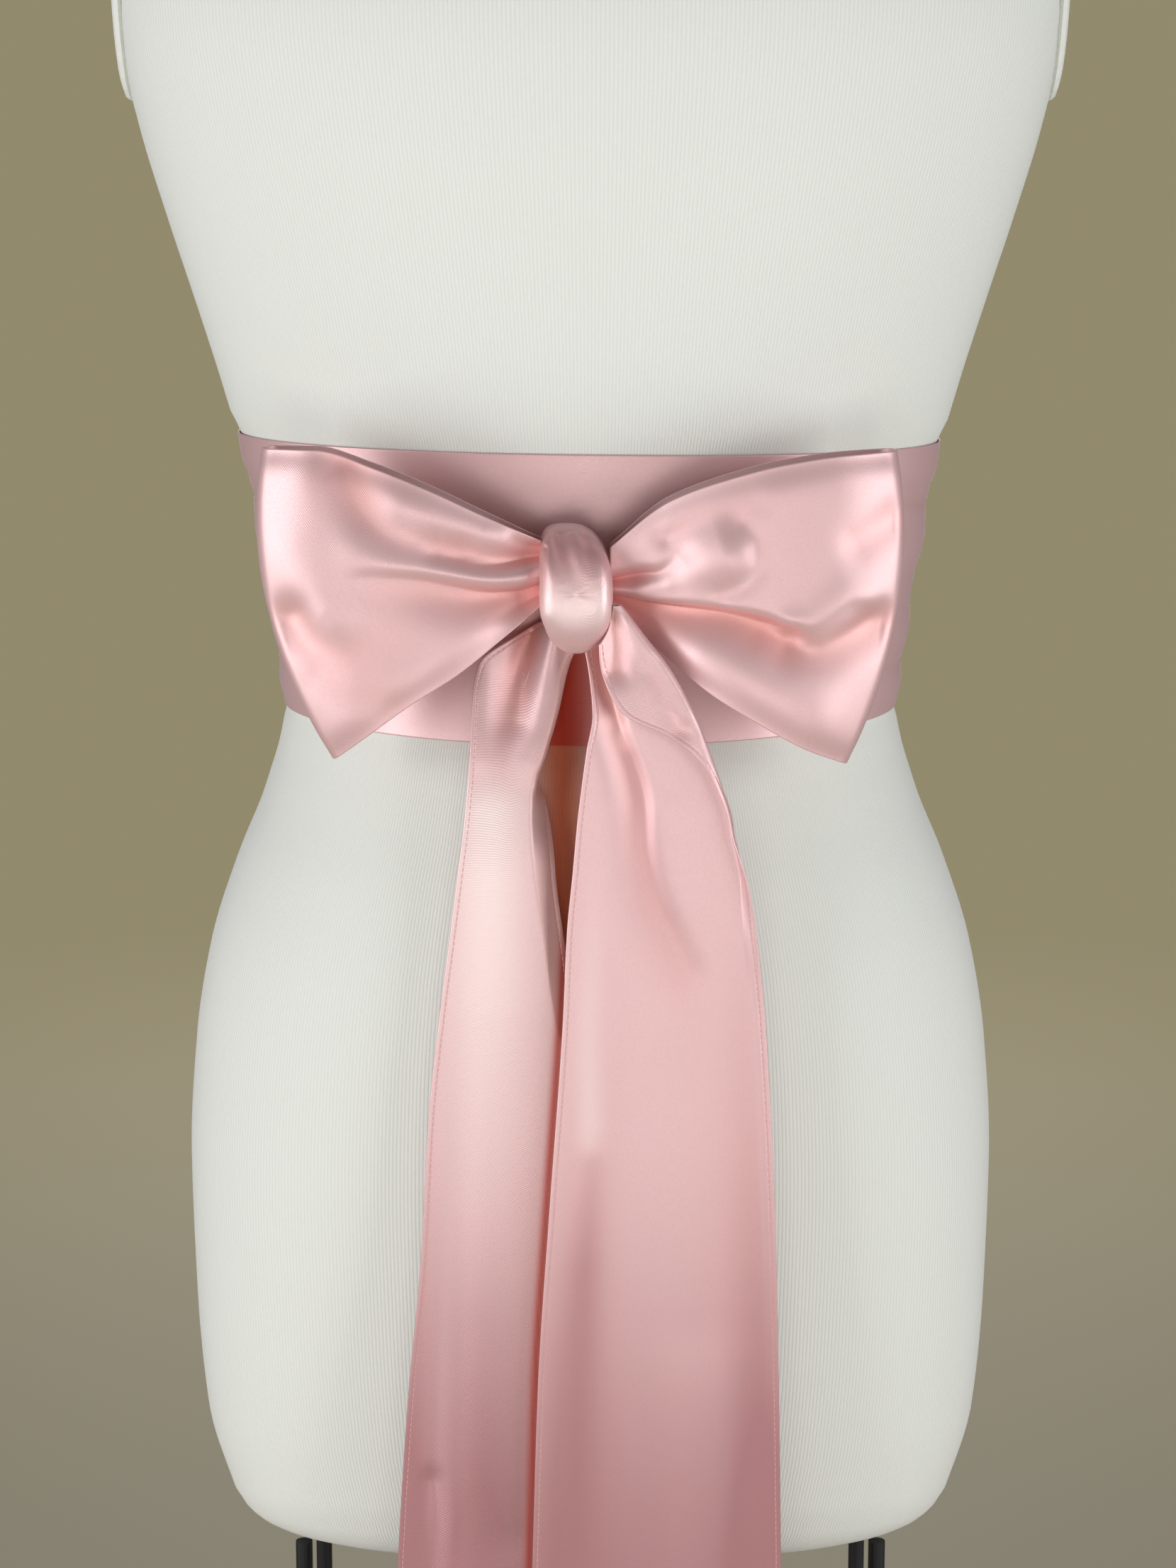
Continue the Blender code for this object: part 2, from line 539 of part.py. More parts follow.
def leaf_curve(length, turn, radius, places):
    """The turned part of a tail's section, as steps across and forward from where it starts."""
    bend = np.maximum(radius * np.abs(turn), 1e-4)
    bend_share = np.clip(bend / length, 0.05, 1.0)
    fine = np.linspace(0.0, 1.0, 61)
    heading = turn * smooth_step(fine / bend_share)
    step = length / (len(fine) - 1)
    across = np.concatenate(([0.0], np.cumsum(np.cos(heading[:-1]) * step)))
    forward = np.concatenate(([0.0], np.cumsum(np.sin(heading[:-1]) * step)))
    counted = smooth_step((math.degrees(abs(turn)) - REACH_NONE) / (REACH_FULL - REACH_NONE))
    return (np.interp(places, fine, across), np.interp(places, fine, forward),
            np.interp(places, fine, heading), across.max() * counted)


def tail_grid(tail):
    """The tail's middle surface with no folds, its wall direction, and how far folds reach."""
    down = np.linspace(0.0, 1.0, TAIL_STEPS + 1) ** TAIL_CROWDING
    panel = np.linspace(0.0, 1.0, TAIL_PANEL_ROWS + 1)
    places = np.linspace(0.0, 1.0, TAIL_LEAF_ROWS + 1)[1:] ** LEAF_CROWDING
    rim = np.radians(np.linspace(tail.rim_start, tail.rim_end, TAIL_PANEL_ROWS + 1))
    rim_x, rim_z = knot_outline(rim, KNOT_HALF_WIDTH + RIM_GAP, KNOT_HALF_HEIGHT + RIM_GAP)
    rim_x = rim_x + KNOT_X
    rim_z = rim_z + KNOT_HEIGHT
    rows = len(down)
    columns = len(panel) + len(places)
    middle = np.zeros((rows, columns, 3))
    normal = np.zeros((rows, columns, 3))
    weight = np.zeros((rows, columns))
    for i, share in enumerate(down):
        height = rim_z + (TAIL_END - rim_z) * share
        left = read_table(tail.sections, "left", height)
        right = read_table(tail.sections, "right", height)
        fore = read_table(tail.sections, "fore", height)
        leaf = float(read_table(tail.sections, "leaf", height[-1]))
        turn = math.radians(float(read_table(tail.sections, "turn", height[-1])))
        across, forward, heading, reach = leaf_curve(leaf, turn, tail.turn_radius, places)
        x = left + (right - reach - left) * panel
        near = max(0.0, 1.0 - share / TAIL_EASE_SHARE) ** 2
        start_left = read_table(tail.sections, "left", rim_z)
        start_right = read_table(tail.sections, "right", rim_z)
        x = x + (rim_x - (start_left + (start_right - reach - start_left) * panel)) * near
        middle[i, :len(panel)] = np.stack((x, -fore, height), axis=-1)
        middle[i, len(panel):, 0] = x[-1] + across
        middle[i, len(panel):, 1] = -fore[-1] - forward
        middle[i, len(panel):, 2] = np.interp(x[-1] + across, x, height)
        normal[i, :len(panel)] = (0.0, -1.0, 0.0)
        normal[i, len(panel):, 0] = -np.sin(heading)
        normal[i, len(panel):, 1] = -np.cos(heading)
        weight[i, :len(panel)] = 1.0
        weight[i, len(panel):] = (1.0 - places) ** 2 * max(0.0, math.cos(turn))
    return middle, normal, weight


def build_tail(name, tail, folds, material):
    middle, normal, weight = tail_grid(tail)
    depth = sum(fold_depth(fold, middle[..., 0], middle[..., 2]) for fold in folds)
    edge = depth[:, TAIL_PANEL_ROWS]
    leaf = slice(TAIL_PANEL_ROWS + 1, None)
    moved = depth * weight
    moved[:, leaf] += edge[:, None] * (1.0 - weight[:, leaf])
    middle = middle + moved[..., None] * np.array((0.0, 1.0, 0.0))
    half = normal * (CLOTH / 2.0)
    return wall_solid(name, middle + half, middle - half, False, material)


def oval_ring(half_x, half_y, z, steps=OVAL_STEPS):
    turn = np.arange(steps) * 2.0 * math.pi / steps
    return np.stack((half_x * np.cos(turn), half_y * np.sin(turn), np.full(steps, z)), axis=-1)


def build_base(material):
    layers = ((0.0, BASE_EDGE), (BASE_EDGE, 0.0), (BASE_THICKNESS - BASE_EDGE, 0.0), (BASE_THICKNESS, BASE_EDGE))
    rings = np.array([oval_ring(BASE_HALF_WIDTH - inset, BASE_HALF_DEPTH - inset, z) for z, inset in layers])
    rings[..., 1] += BASE_SHIFT
    return stack_solid("base_plate", rings, material)


def build_post(name, x, y, material):
    foot = BASE_THICKNESS + SEAM_GAP
    head = FORM_BOTTOM - SEAM_GAP
    rings = np.array([oval_ring(POST_RADIUS, POST_RADIUS, z, POST_STEPS) for z in (foot, head)])
    rings += (x, y, 0.0)
    return stack_solid(name, rings, material)


def build_posts(material):
    for side, sign in (("left", -1), ("right", 1)):
        build_post("post_front_" + side, sign * POST_X, -POST_FRONT, material)
        build_post("post_back_" + side, sign * POST_X, POST_FRONT, material)


def build_arm_plate(name, side, material):
    layers = ((0.0003, 0.0430, 0.0620), (0.0015, 0.0445, 0.0635), (0.0033, 0.0438, 0.0628), (0.0044, 0.0405, 0.0595))
    rings = []
    for out, half_depth, half_height in layers:
        ring = oval_ring(half_depth, half_height, side * (ARM_CUT + out))
        rings.append(np.stack((ring[:, 2], ring[:, 0], ARM_PLATE_HEIGHT + ring[:, 1]), axis=-1))
    return stack_solid(name, np.array(rings), material)


def build_neck_cap(material):
    top = TORSO[-1].height
    layers = ((SEAM_GAP, 0.0545), (0.0020, 0.0560), (0.0060, 0.0555), (0.0090, 0.0510), (0.0105, 0.0400))
    rings = np.array([oval_ring(half, half * NECK_DEPTH_SHARE, top + z) for z, half in layers])
    rings[..., 1] += (TORSO[-1].back - TORSO[-1].front) / 2.0
    return stack_solid("neck_cap", rings, material)


def main():
    clear_scene()
    build_torso(make_material("jersey torso", JERSEY, 0.85))
    build_arm_plate("arm_plate_left", -1, make_material("jersey left plate", JERSEY, 0.85))
    build_arm_plate("arm_plate_right", 1, make_material("jersey right plate", JERSEY, 0.85))
    build_neck_cap(make_material("jersey cap", JERSEY, 0.85))
    build_base(make_material("black base", BLACK, 0.45, 0.6))
    build_posts(make_material("black posts", BLACK, 0.40, 0.6))
    build_band(make_material("satin band", SATIN, 0.35))
    build_knot(make_material("satin knot", SATIN, 0.35))
    build_loop("loop_left", LOOP_LEFT, LOOP_LEFT_FOLDS, make_material("satin left loop", SATIN, 0.35))
    build_loop("loop_right", LOOP_RIGHT, LOOP_RIGHT_FOLDS, make_material("satin right loop", SATIN, 0.35))
    build_tail("tail_left", TAIL_LEFT, TAIL_LEFT_FOLDS, make_material("satin left tail", SATIN, 0.35))
    build_tail("tail_right", TAIL_RIGHT, TAIL_RIGHT_FOLDS, make_material("satin right tail", SATIN, 0.35))


main()
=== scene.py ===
"""Looks of a satin sash tied in a bow round a dress form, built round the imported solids.

Metres, +Z up, front towards -Y. Heights are measured from the floor, and "fore" is a distance in
front of the form's axis. The cloth's sections and folds are those of the solids, with finer steps,
thinner cloth, and the softer folds, hems and stitches added.
"""
import math
from collections import namedtuple

import bpy
import numpy as np
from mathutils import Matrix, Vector

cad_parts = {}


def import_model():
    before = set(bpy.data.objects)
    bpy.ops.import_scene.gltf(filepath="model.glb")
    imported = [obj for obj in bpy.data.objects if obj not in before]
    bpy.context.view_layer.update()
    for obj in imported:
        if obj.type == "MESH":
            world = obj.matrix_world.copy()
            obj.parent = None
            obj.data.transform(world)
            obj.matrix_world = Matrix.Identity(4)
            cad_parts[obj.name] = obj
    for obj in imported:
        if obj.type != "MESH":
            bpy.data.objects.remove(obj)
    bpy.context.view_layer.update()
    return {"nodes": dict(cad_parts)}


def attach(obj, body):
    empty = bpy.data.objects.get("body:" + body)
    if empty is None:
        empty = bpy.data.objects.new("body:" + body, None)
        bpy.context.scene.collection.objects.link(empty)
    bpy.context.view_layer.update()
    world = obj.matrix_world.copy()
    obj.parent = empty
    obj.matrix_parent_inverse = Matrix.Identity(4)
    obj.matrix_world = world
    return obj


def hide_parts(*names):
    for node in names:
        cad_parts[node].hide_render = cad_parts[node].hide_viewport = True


# Driving sizes, as in the solids
CLOTH = 0.0007
SOLID_CLOTH = 0.0014
CLOTH_GAP = 0.0004
BAND_BOTTOM = 0.641
BAND_TOP = 0.753
BAND_TILT = 0.0018
BAND_RIDE_UP = 0.003
BAND_SINK = 0.0021
KNOT_X = -0.0055
KNOT_HEIGHT = 0.7045
KNOT_HALF_WIDTH = 0.0138
KNOT_HALF_HEIGHT = 0.0234
KNOT_TOP_SQUARENESS = 3.0
KNOT_LOW_SQUARENESS = 2.2
KNOT_LEAN = 0.0040
KNOT_FRONT_START = 0.112
KNOT_FRONT_FADE = 0.014
LOOP_START = 0.0128
LOOP_EASE = 0.020
LOOP_BACK_FOLDS = 0.3
ROLL_ANGLE = 28
ROLL_SHARE = 0.80
END_ROLL = 0.0030
TAIL_EASE_SHARE = 0.050
TAIL_END = 0.130
FORM_BOTTOM = 0.298
HEM_LEVEL = 0.3065
HEM_RISE = 0.0125
HEM_FADE = 0.090
ARM_CUT = 0.1812
PLEATS_FULL = 94
PLEATS_GONE = 132
REACH_NONE = 60
REACH_FULL = 120

# Finish of the cloth's edges
EDGE_ROUND = 0.0005
SEW_LINE = 0.0019
HEM_LIFT = 0.00008
SEW_GROOVE = 0.00016
SEW_GROOVE_HALF = 0.00032
STITCH_PITCH = 0.0024
STITCH_LENGTH = 0.0017
STITCH_RADIUS = 0.00013
EDGE_CURL = 0.0020
EDGE_CURL_REACH = 0.0062

# Painted shade and painted coral bounce light where the tails' colour is thrown on what lies behind the gap
# between them, and beside the right tail's edge
GLOW_X = -0.0110
GLOW_HALF_WIDTH = 0.0150
GLOW_BOTTOM = 0.515
GLOW_TOP = 0.705
GLOW_FADE = 0.030
EDGE_GLOW_TOP = 0.585
EDGE_GLOW_HALF = 0.0021
EDGE_GLOW_STRENGTH = 0.8

# Where painted shade turns the satin deeper, or painted light paler: low on the tails, on the knot's top and
# middle, and on the left tail's turned edge
LOW_DUSK = 0.85
DUSK_TOP = 0.510
DUSK_FADE = 0.210
KNOT_DUSK = 0.60
KNOT_PALE = 0.60
LEAF_PALE = 0.40
KNOT_DUSK_START = 0.003
KNOT_DUSK_FADE = 0.013
KNOT_PALE_MIDDLE = -0.006
KNOT_PALE_HALF = 0.008

# Mesh steps
ROUND_STEPS = 264
TORSO_ROWS = 150
BAND_ROWS = 72
LOOP_FRONT_STEPS = 136
LOOP_TURN_STEPS = 24
LOOP_BACK_STEPS = 44
LOOP_ROWS = 136
KNOT_STEPS = 132
KNOT_ROWS = 84
TAIL_STEPS = 250
TAIL_CROWDING = 1.45
TAIL_PANEL_ROWS = 84
TAIL_LEAF_ROWS = 34
PATH_STEPS = 72
EDGE_CROWDING = 0.78
FOLD_REACH = 3.2

# Depths at which a crease has the full painted coral shade
BAND_CREASE_FULL = 0.002
LOOP_CREASE_FULL = 0.006
TAIL_CREASE_FULL = 0.005
KNOT_CREASE_FULL = 0.007

# The torso's level sections, from the hem to the top of the neck
Torso = namedtuple("Torso", "height half_width front back squareness")
TORSO = (
    Torso(0.306, 0.1510, 0.0880, 0.104, 2.60),
    Torso(0.345, 0.1622, 0.0940, 0.113, 2.50),
    Torso(0.395, 0.1660, 0.1000, 0.121, 2.45),
    Torso(0.455, 0.1672, 0.1060, 0.125, 2.40),
    Torso(0.505, 0.1640, 0.1095, 0.122, 2.35),
    Torso(0.545, 0.1572, 0.1105, 0.115, 2.30),
    Torso(0.580, 0.1458, 0.1080, 0.104, 2.25),
    Torso(0.610, 0.1336, 0.1030, 0.094, 2.20),
    Torso(0.640, 0.1262, 0.0980, 0.086, 2.15),
    Torso(0.670, 0.1288, 0.0965, 0.083, 2.15),
    Torso(0.704, 0.1336, 0.0960, 0.083, 2.15),
    Torso(0.740, 0.1396, 0.0962, 0.086, 2.20),
    Torso(0.773, 0.1484, 0.0980, 0.091, 2.20),
    Torso(0.808, 0.1590, 0.1020, 0.097, 2.25),
    Torso(0.841, 0.1693, 0.1080, 0.103, 2.30),
    Torso(0.875, 0.1790, 0.1145, 0.108, 2.35),
    Torso(0.915, 0.1870, 0.1180, 0.111, 2.40),
    Torso(0.955, 0.1895, 0.1150, 0.112, 2.40),
    Torso(0.995, 0.1865, 0.1060, 0.109, 2.40),
    Torso(1.025, 0.1770, 0.0950, 0.101, 2.35),
    Torso(1.046, 0.1540, 0.0830, 0.090, 2.30),
    Torso(1.060, 0.1200, 0.0710, 0.079, 2.20),
    Torso(1.070, 0.0890, 0.0610, 0.069, 2.10),
    Torso(1.082, 0.0660, 0.0540, 0.061, 2.05),
    Torso(1.105, 0.0560, 0.0500, 0.056, 2.00),
    Torso(1.130, 0.0545, 0.0485, 0.054, 2.00),
)
HemTurn = namedtuple("HemTurn", "height inset rise_share")
HEM_TURN = (
    HemTurn(0.2980, 0.0170, 0.0),
    HemTurn(0.2983, 0.0130, 0.05),
    HemTurn(0.2990, 0.0095, 0.2),
    HemTurn(0.3005, 0.0064, 0.4),
    HemTurn(0.3025, 0.0040, 0.6),
    HemTurn(0.3045, 0.0022, 0.8),
    HemTurn(HEM_LEVEL, 0.0012, 1.0),
)

# Pleats that run along the band: share of its height from the lower edge, and how far they stand out
Pleat = namedtuple("Pleat", "share half_share depth")
PLEATS = (
    Pleat(0.09, 0.05, 0.0012),
    Pleat(0.30, 0.09, 0.0016),
    Pleat(0.63, 0.10, 0.0018),
    Pleat(0.91, 0.07, 0.0014),
)
# Finer creases of the band at the sides and back: they wander up and down by a share of its height
BandCrease = namedtuple("BandCrease", "share half_share depth wander waves start")
BAND_CREASES = (
    BandCrease(0.185, 0.016, -0.0008, 0.020, 3.0, 0.4),
    BandCrease(0.415, 0.014, -0.0009, 0.026, 2.0, 1.9),
    BandCrease(0.505, 0.012, -0.0007, 0.018, 4.0, 3.1),
    BandCrease(0.770, 0.015, -0.0010, 0.022, 3.0, 5.0),
    BandCrease(0.845, 0.010, -0.0006, 0.014, 5.0, 2.2),
)

# A loop's sections, by their share of the way from the knot to the turned end.
# Out is the distance from the knot's middle, up the height above it.
LoopSection = namedtuple("LoopSection", "share top_out top_up low_out low_up")
LOOP_LEFT_SECTIONS = (
    LoopSection(0.0, LOOP_START, 0.0185, LOOP_START, -0.0058),
    LoopSection(0.2, 0.0345, 0.0285, 0.0285, -0.0190),
    LoopSection(0.4, 0.0555, 0.0385, 0.0440, -0.0310),
    LoopSection(0.6, 0.0765, 0.0468, 0.0600, -0.0412),
    LoopSection(0.8, 0.0975, 0.0530, 0.0760, -0.0528),
    LoopSection(1.0, 0.1168, 0.0532, 0.0918, -0.0650),
)
LOOP_RIGHT_SECTIONS = (
    LoopSection(0.0, LOOP_START, 0.0160, LOOP_START, -0.0076),
    LoopSection(0.2, 0.0345, 0.0335, 0.0310, -0.0240),
    LoopSection(0.4, 0.0560, 0.0420, 0.0490, -0.0380),
    LoopSection(0.6, 0.0773, 0.0476, 0.0667, -0.0485),
    LoopSection(0.8, 0.0986, 0.0508, 0.0846, -0.0588),
    LoopSection(1.0, 0.1196, 0.0522, 0.1024, -0.0668),
)

# Folds: a path of points, and the depth and half width at its start and end. A positive depth is a
# trough and a negative one a ridge. Above and below give the two sides' steepness, and power how
# sharp the fold's bottom is. A loop's points are out and up from the knot's middle.
Fold = namedtuple("Fold", "name path depth_start depth_end half_start half_end above below power",
                  defaults=(1.0, 1.0, 2.0))
LOOP_LEFT_FOLDS = (
    Fold("upper crease", ((0.0128, 0.0127), (0.0202, 0.0114), (0.0286, 0.0101), (0.0354, 0.0104),
                          (0.0421, 0.0126), (0.0500, 0.0146)), 0.0060, 0.0018, 0.0032, 0.0062, 1.7, 0.7),
    Fold("soft valley", ((0.0450, 0.0130), (0.0570, 0.0155), (0.0680, 0.0200), (0.0760, 0.0270),
                         (0.0820, 0.0360), (0.0860, 0.0460)), 0.0016, 0.0034, 0.0070, 0.0100, 1.3, 0.9),
    Fold("lower crease", ((0.0128, 0.0019), (0.0218, -0.0004), (0.0303, -0.0004), (0.0387, 0.0008),
                          (0.0472, 0.0026), (0.0573, 0.0045), (0.0674, 0.0053), (0.0758, 0.0056),
                          (0.0817, 0.0046), (0.0850, 0.0026)),
         0.0064, 0.0004, 0.0034, 0.0064, 0.6, 2.5),
    Fold("outer trough", ((0.1070, -0.0102), (0.1028, -0.0169), (0.0944, -0.0220), (0.0843, -0.0245),
                          (0.0724, -0.0237)), 0.0032, 0.0010, 0.0070, 0.0110, 1.0, 1.3),
    Fold("middle roll", ((0.0200, 0.0052), (0.0400, 0.0072), (0.0600, 0.0110), (0.0780, 0.0150)),
         -0.0016, -0.0014, 0.0045, 0.0110),
)
LOOP_RIGHT_FOLDS = (
    Fold("upper crease", ((0.0128, 0.0032), (0.0186, 0.0046), (0.0245, 0.0058), (0.0296, 0.0061),
                          (0.0330, 0.0075), (0.0390, 0.0130)), 0.0056, 0.0010, 0.0032, 0.0060, 0.6, 1.3),
    Fold("lower crease", ((0.0128, -0.0028), (0.0169, -0.0035), (0.0228, -0.0051), (0.0303, -0.0060),
                          (0.0388, -0.0064), (0.0473, -0.0068), (0.0557, -0.0078), (0.0641, -0.0092),
                          (0.0726, -0.0114), (0.0793, -0.0138)), 0.0062, 0.0046, 0.0034, 0.0040, 0.5, 2.8),
    Fold("curled trough", ((0.0690, -0.0175), (0.0780, -0.0215), (0.0895, -0.0225), (0.1000, -0.0185),
                           (0.1080, -0.0140), (0.1140, -0.0095)), 0.0016, 0.0036, 0.0080, 0.0066, 0.9, 1.4),
    Fold("curled rim", ((0.0793, -0.0128), (0.0878, -0.0110), (0.0962, -0.0045), (0.1029, -0.0010),
                        (0.1096, -0.0018), (0.1148, -0.0070)), -0.0012, -0.0012, 0.0036, 0.0050, 1.6, 0.8),
    Fold("round bump", ((0.0300, 0.0040), (0.0450, 0.0095), (0.0560, 0.0135)),
         -0.0012, -0.0030, 0.0052, 0.0100),
)
# Smaller folds that only the looks have
LOOP_LEFT_DETAILS = (
    Fold("upper lobe", ((0.0280, 0.0215), (0.0480, 0.0260), (0.0640, 0.0320)),
         -0.0010, -0.0012, 0.0050, 0.0080),
    Fold("knot pinch", ((0.0135, 0.0165), (0.0200, 0.0180), (0.0270, 0.0205)),
         0.0012, 0.0002, 0.0014, 0.0030),
    Fold("lower pinch", ((0.0140, -0.0028), (0.0240, -0.0080), (0.0340, -0.0125)),
         0.0010, 0.0002, 0.0018, 0.0040),
    Fold("outer peninsula", ((0.1080, 0.0140), (0.0980, 0.0000), (0.0900, -0.0100)),
         -0.0010, -0.0010, 0.0120, 0.0100),
    Fold("low hollow", ((0.0700, -0.0420), (0.0840, -0.0400), (0.0960, -0.0330)),
         0.0010, 0.0006, 0.0080, 0.0070),
)
LOOP_RIGHT_DETAILS = (
    Fold("teardrop", ((0.0140, -0.0005), (0.0240, 0.0012), (0.0340, 0.0032)),
         -0.0014, -0.0008, 0.0020, 0.0036),
    Fold("bump rim", ((0.0540, -0.0005), (0.0630, 0.0040), (0.0680, 0.0110), (0.0675, 0.0190),
                      (0.0620, 0.0250)),
         0.0010, 0.0010, 0.0042, 0.0046),
    Fold("top hollow", ((0.0340, 0.0200), (0.0480, 0.0280), (0.0640, 0.0330)),
         0.0012, 0.0008, 0.0046, 0.0070),
    Fold("side hollow", ((0.1060, 0.0190), (0.1190, 0.0270)), 0.0016, 0.0020, 0.0080, 0.0080),
    Fold("lower pinch", ((0.0140, -0.0062), (0.0240, -0.0130), (0.0340, -0.0180)),
         0.0010, 0.0002, 0.0018, 0.0040),
    Fold("lower lobe", ((0.0480, -0.0240), (0.0700, -0.0340), (0.0900, -0.0460)),
         -0.0008, -0.0010, 0.0080, 0.0110),
)
Loop = namedtuple("Loop", "side sections end_bow fore_front fore_back fore_end turn_radius bulge "
                  "low_recess folds details")
LOOP_LEFT = Loop(-1, LOOP_LEFT_SECTIONS, 0.0118, 0.1220, 0.1105, 0.1170, 0.0065, 0.0072, 0.000,
                 LOOP_LEFT_FOLDS, LOOP_LEFT_DETAILS)
LOOP_RIGHT = Loop(1, LOOP_RIGHT_SECTIONS, 0.0100, 0.1190, 0.1070, 0.1165, 0.0070, 0.0082, 0.006,
                  LOOP_RIGHT_FOLDS, LOOP_RIGHT_DETAILS)

# The tails' sections, from the knot down. Left and right are the shown edges, leaf is the turned part beyond
# the right edge and turn is how far round it is turned, in degrees: forward if positive.
TailSection = namedtuple("TailSection", "height left right fore leaf turn")
TAIL_LEFT_SECTIONS = (
    TailSection(0.6960, -0.0200, -0.0080, 0.1060, 0.012, -160),
    TailSection(0.6870, -0.0310, -0.0082, 0.1060, 0.014, -170),
    TailSection(0.6750, -0.0440, -0.0107, 0.1070, 0.018, -175),
    TailSection(0.6620, -0.0450, -0.0116, 0.1095, 0.020, -175),
    TailSection(0.6410, -0.0460, -0.0170, 0.1140, 0.016, -140),
    TailSection(0.6190, -0.0478, -0.0240, 0.1170, 0.012, -58),
    TailSection(0.5970, -0.0505, -0.0225, 0.1190, 0.010, -28),
    TailSection(0.5700, -0.0540, -0.0185, 0.1200, 0.009, -25),
    TailSection(0.5400, -0.0580, -0.0145, 0.1205, 0.009, -18),
    TailSection(0.5000, -0.0625, -0.0010, 0.1205, 0.009, -10),
    TailSection(0.4400, -0.0662, 0.0110, 0.1205, 0.009, 0),
    TailSection(0.3860, -0.0715, 0.0190, 0.1205, 0.009, 0),
    TailSection(0.3150, -0.0763, 0.0230, 0.1205, 0.009, 0),
    TailSection(0.1300, -0.0840, 0.0200, 0.1205, 0.009, 0),
)
TAIL_RIGHT_SECTIONS = (
    TailSection(0.7050, 0.0060, 0.0095, 0.1235, 0.010, 150),
    TailSection(0.6890, -0.0010, 0.0200, 0.1245, 0.020, 175),
    TailSection(0.6750, 0.0000, 0.0300, 0.1260, 0.0245, 178),
    TailSection(0.6580, 0.0007, 0.0392, 0.1270, 0.0165, 178),
    TailSection(0.6450, -0.0015, 0.0443, 0.1275, 0.0105, 175),
    TailSection(0.6320, -0.0033, 0.0490, 0.1280, 0.0075, 160),
    TailSection(0.6180, -0.0050, 0.0533, 0.1285, 0.0065, 130),
    TailSection(0.5980, -0.0068, 0.0552, 0.1285, 0.006, 70),
    TailSection(0.5750, -0.0090, 0.0572, 0.1285, 0.006, 20),
    TailSection(0.5400, -0.0106, 0.0607, 0.1285, 0.006, 0),
    TailSection(0.4630, -0.0160, 0.0652, 0.1285, 0.006, 0),
    TailSection(0.3960, -0.0204, 0.0673, 0.1285, 0.006, 0),
    TailSection(0.3170, -0.0230, 0.0690, 0.1285, 0.006, 0),
    TailSection(0.1300, -0.0290, 0.0725, 0.1285, 0.006, 0),
)

# Folds of the tails: a path of (x, height) points
TAIL_LEFT_FOLDS = (
    Fold("channel", ((-0.0215, 0.690), (-0.0240, 0.681), (-0.0260, 0.672), (-0.0276, 0.663),
                     (-0.0290, 0.654)),
         0.0062, 0.0026, 0.0050, 0.0078, 0.9, 1.1),
    Fold("front lobe", ((-0.0130, 0.690), (-0.0145, 0.680), (-0.0163, 0.670), (-0.0192, 0.656),
                        (-0.0240, 0.640)),
         -0.0035, -0.0012, 0.0046, 0.0080),
    Fold("long ripple", ((-0.0430, 0.610), (-0.0470, 0.480), (-0.0510, 0.330), (-0.0560, 0.150)),
         0.0, -0.0036, 0.0110, 0.0140),
    Fold("edge ripple", ((-0.0550, 0.540), (-0.0600, 0.440), (-0.0640, 0.320), (-0.0700, 0.150)),
         0.0, 0.0026, 0.0060, 0.0080),
)
TAIL_RIGHT_FOLDS = (
    Fold("main valley", ((0.0050, 0.680), (0.0075, 0.665), (0.0107, 0.652), (0.0160, 0.639), (0.0198, 0.624),
                         (0.0200, 0.608), (0.0245, 0.588), (0.0365, 0.561)),
         0.0042, 0.0010, 0.0045, 0.0090, 0.6, 1.5),
    Fold("left ridge", ((0.0030, 0.655), (0.0060, 0.625), (0.0080, 0.590), (0.0080, 0.540)),
         -0.0009, 0.0, 0.0070, 0.0120),
    Fold("soft trough", ((-0.0020, 0.540), (-0.0045, 0.470), (-0.0080, 0.390), (-0.0090, 0.300)),
         0.0, 0.0030, 0.0080, 0.0130, 1.4, 0.8),
    Fold("right ripple", ((0.0570, 0.600), (0.0610, 0.500), (0.0650, 0.330), (0.0680, 0.150)),
         0.0, 0.0030, 0.0080, 0.0100),
    Fold("middle ridge", ((0.0320, 0.520), (0.0340, 0.380), (0.0330, 0.150)), 0.0, -0.0036, 0.0140, 0.0160),
)
TAIL_LEFT_DETAILS = (
    Fold("left lobe", ((-0.0400, 0.680), (-0.0415, 0.664), (-0.0420, 0.640)),
         -0.0010, -0.0006, 0.0036, 0.0060),
    Fold("slack", ((-0.0330, 0.640), (-0.0350, 0.600), (-0.0360, 0.540)), 0.0008, 0.0, 0.0090, 0.0130),
    Fold("low slack", ((-0.0250, 0.540), (-0.0240, 0.440), (-0.0260, 0.330)), 0.0, 0.0014, 0.0120, 0.0160),
    Fold("edge tuck", ((-0.0620, 0.352), (-0.0600, 0.338), (-0.0585, 0.322)),
         0.0014, 0.0004, 0.0040, 0.0060),
)
TAIL_RIGHT_DETAILS = (
    Fold("valley edge", ((0.0120, 0.650), (0.0185, 0.637), (0.0225, 0.622), (0.0228, 0.607),
                         (0.0280, 0.586)),
         -0.0006, -0.0002, 0.0036, 0.0056),
    Fold("slack", ((0.0390, 0.600), (0.0440, 0.500), (0.0430, 0.420)), 0.0, 0.0010, 0.0150, 0.0180),
)
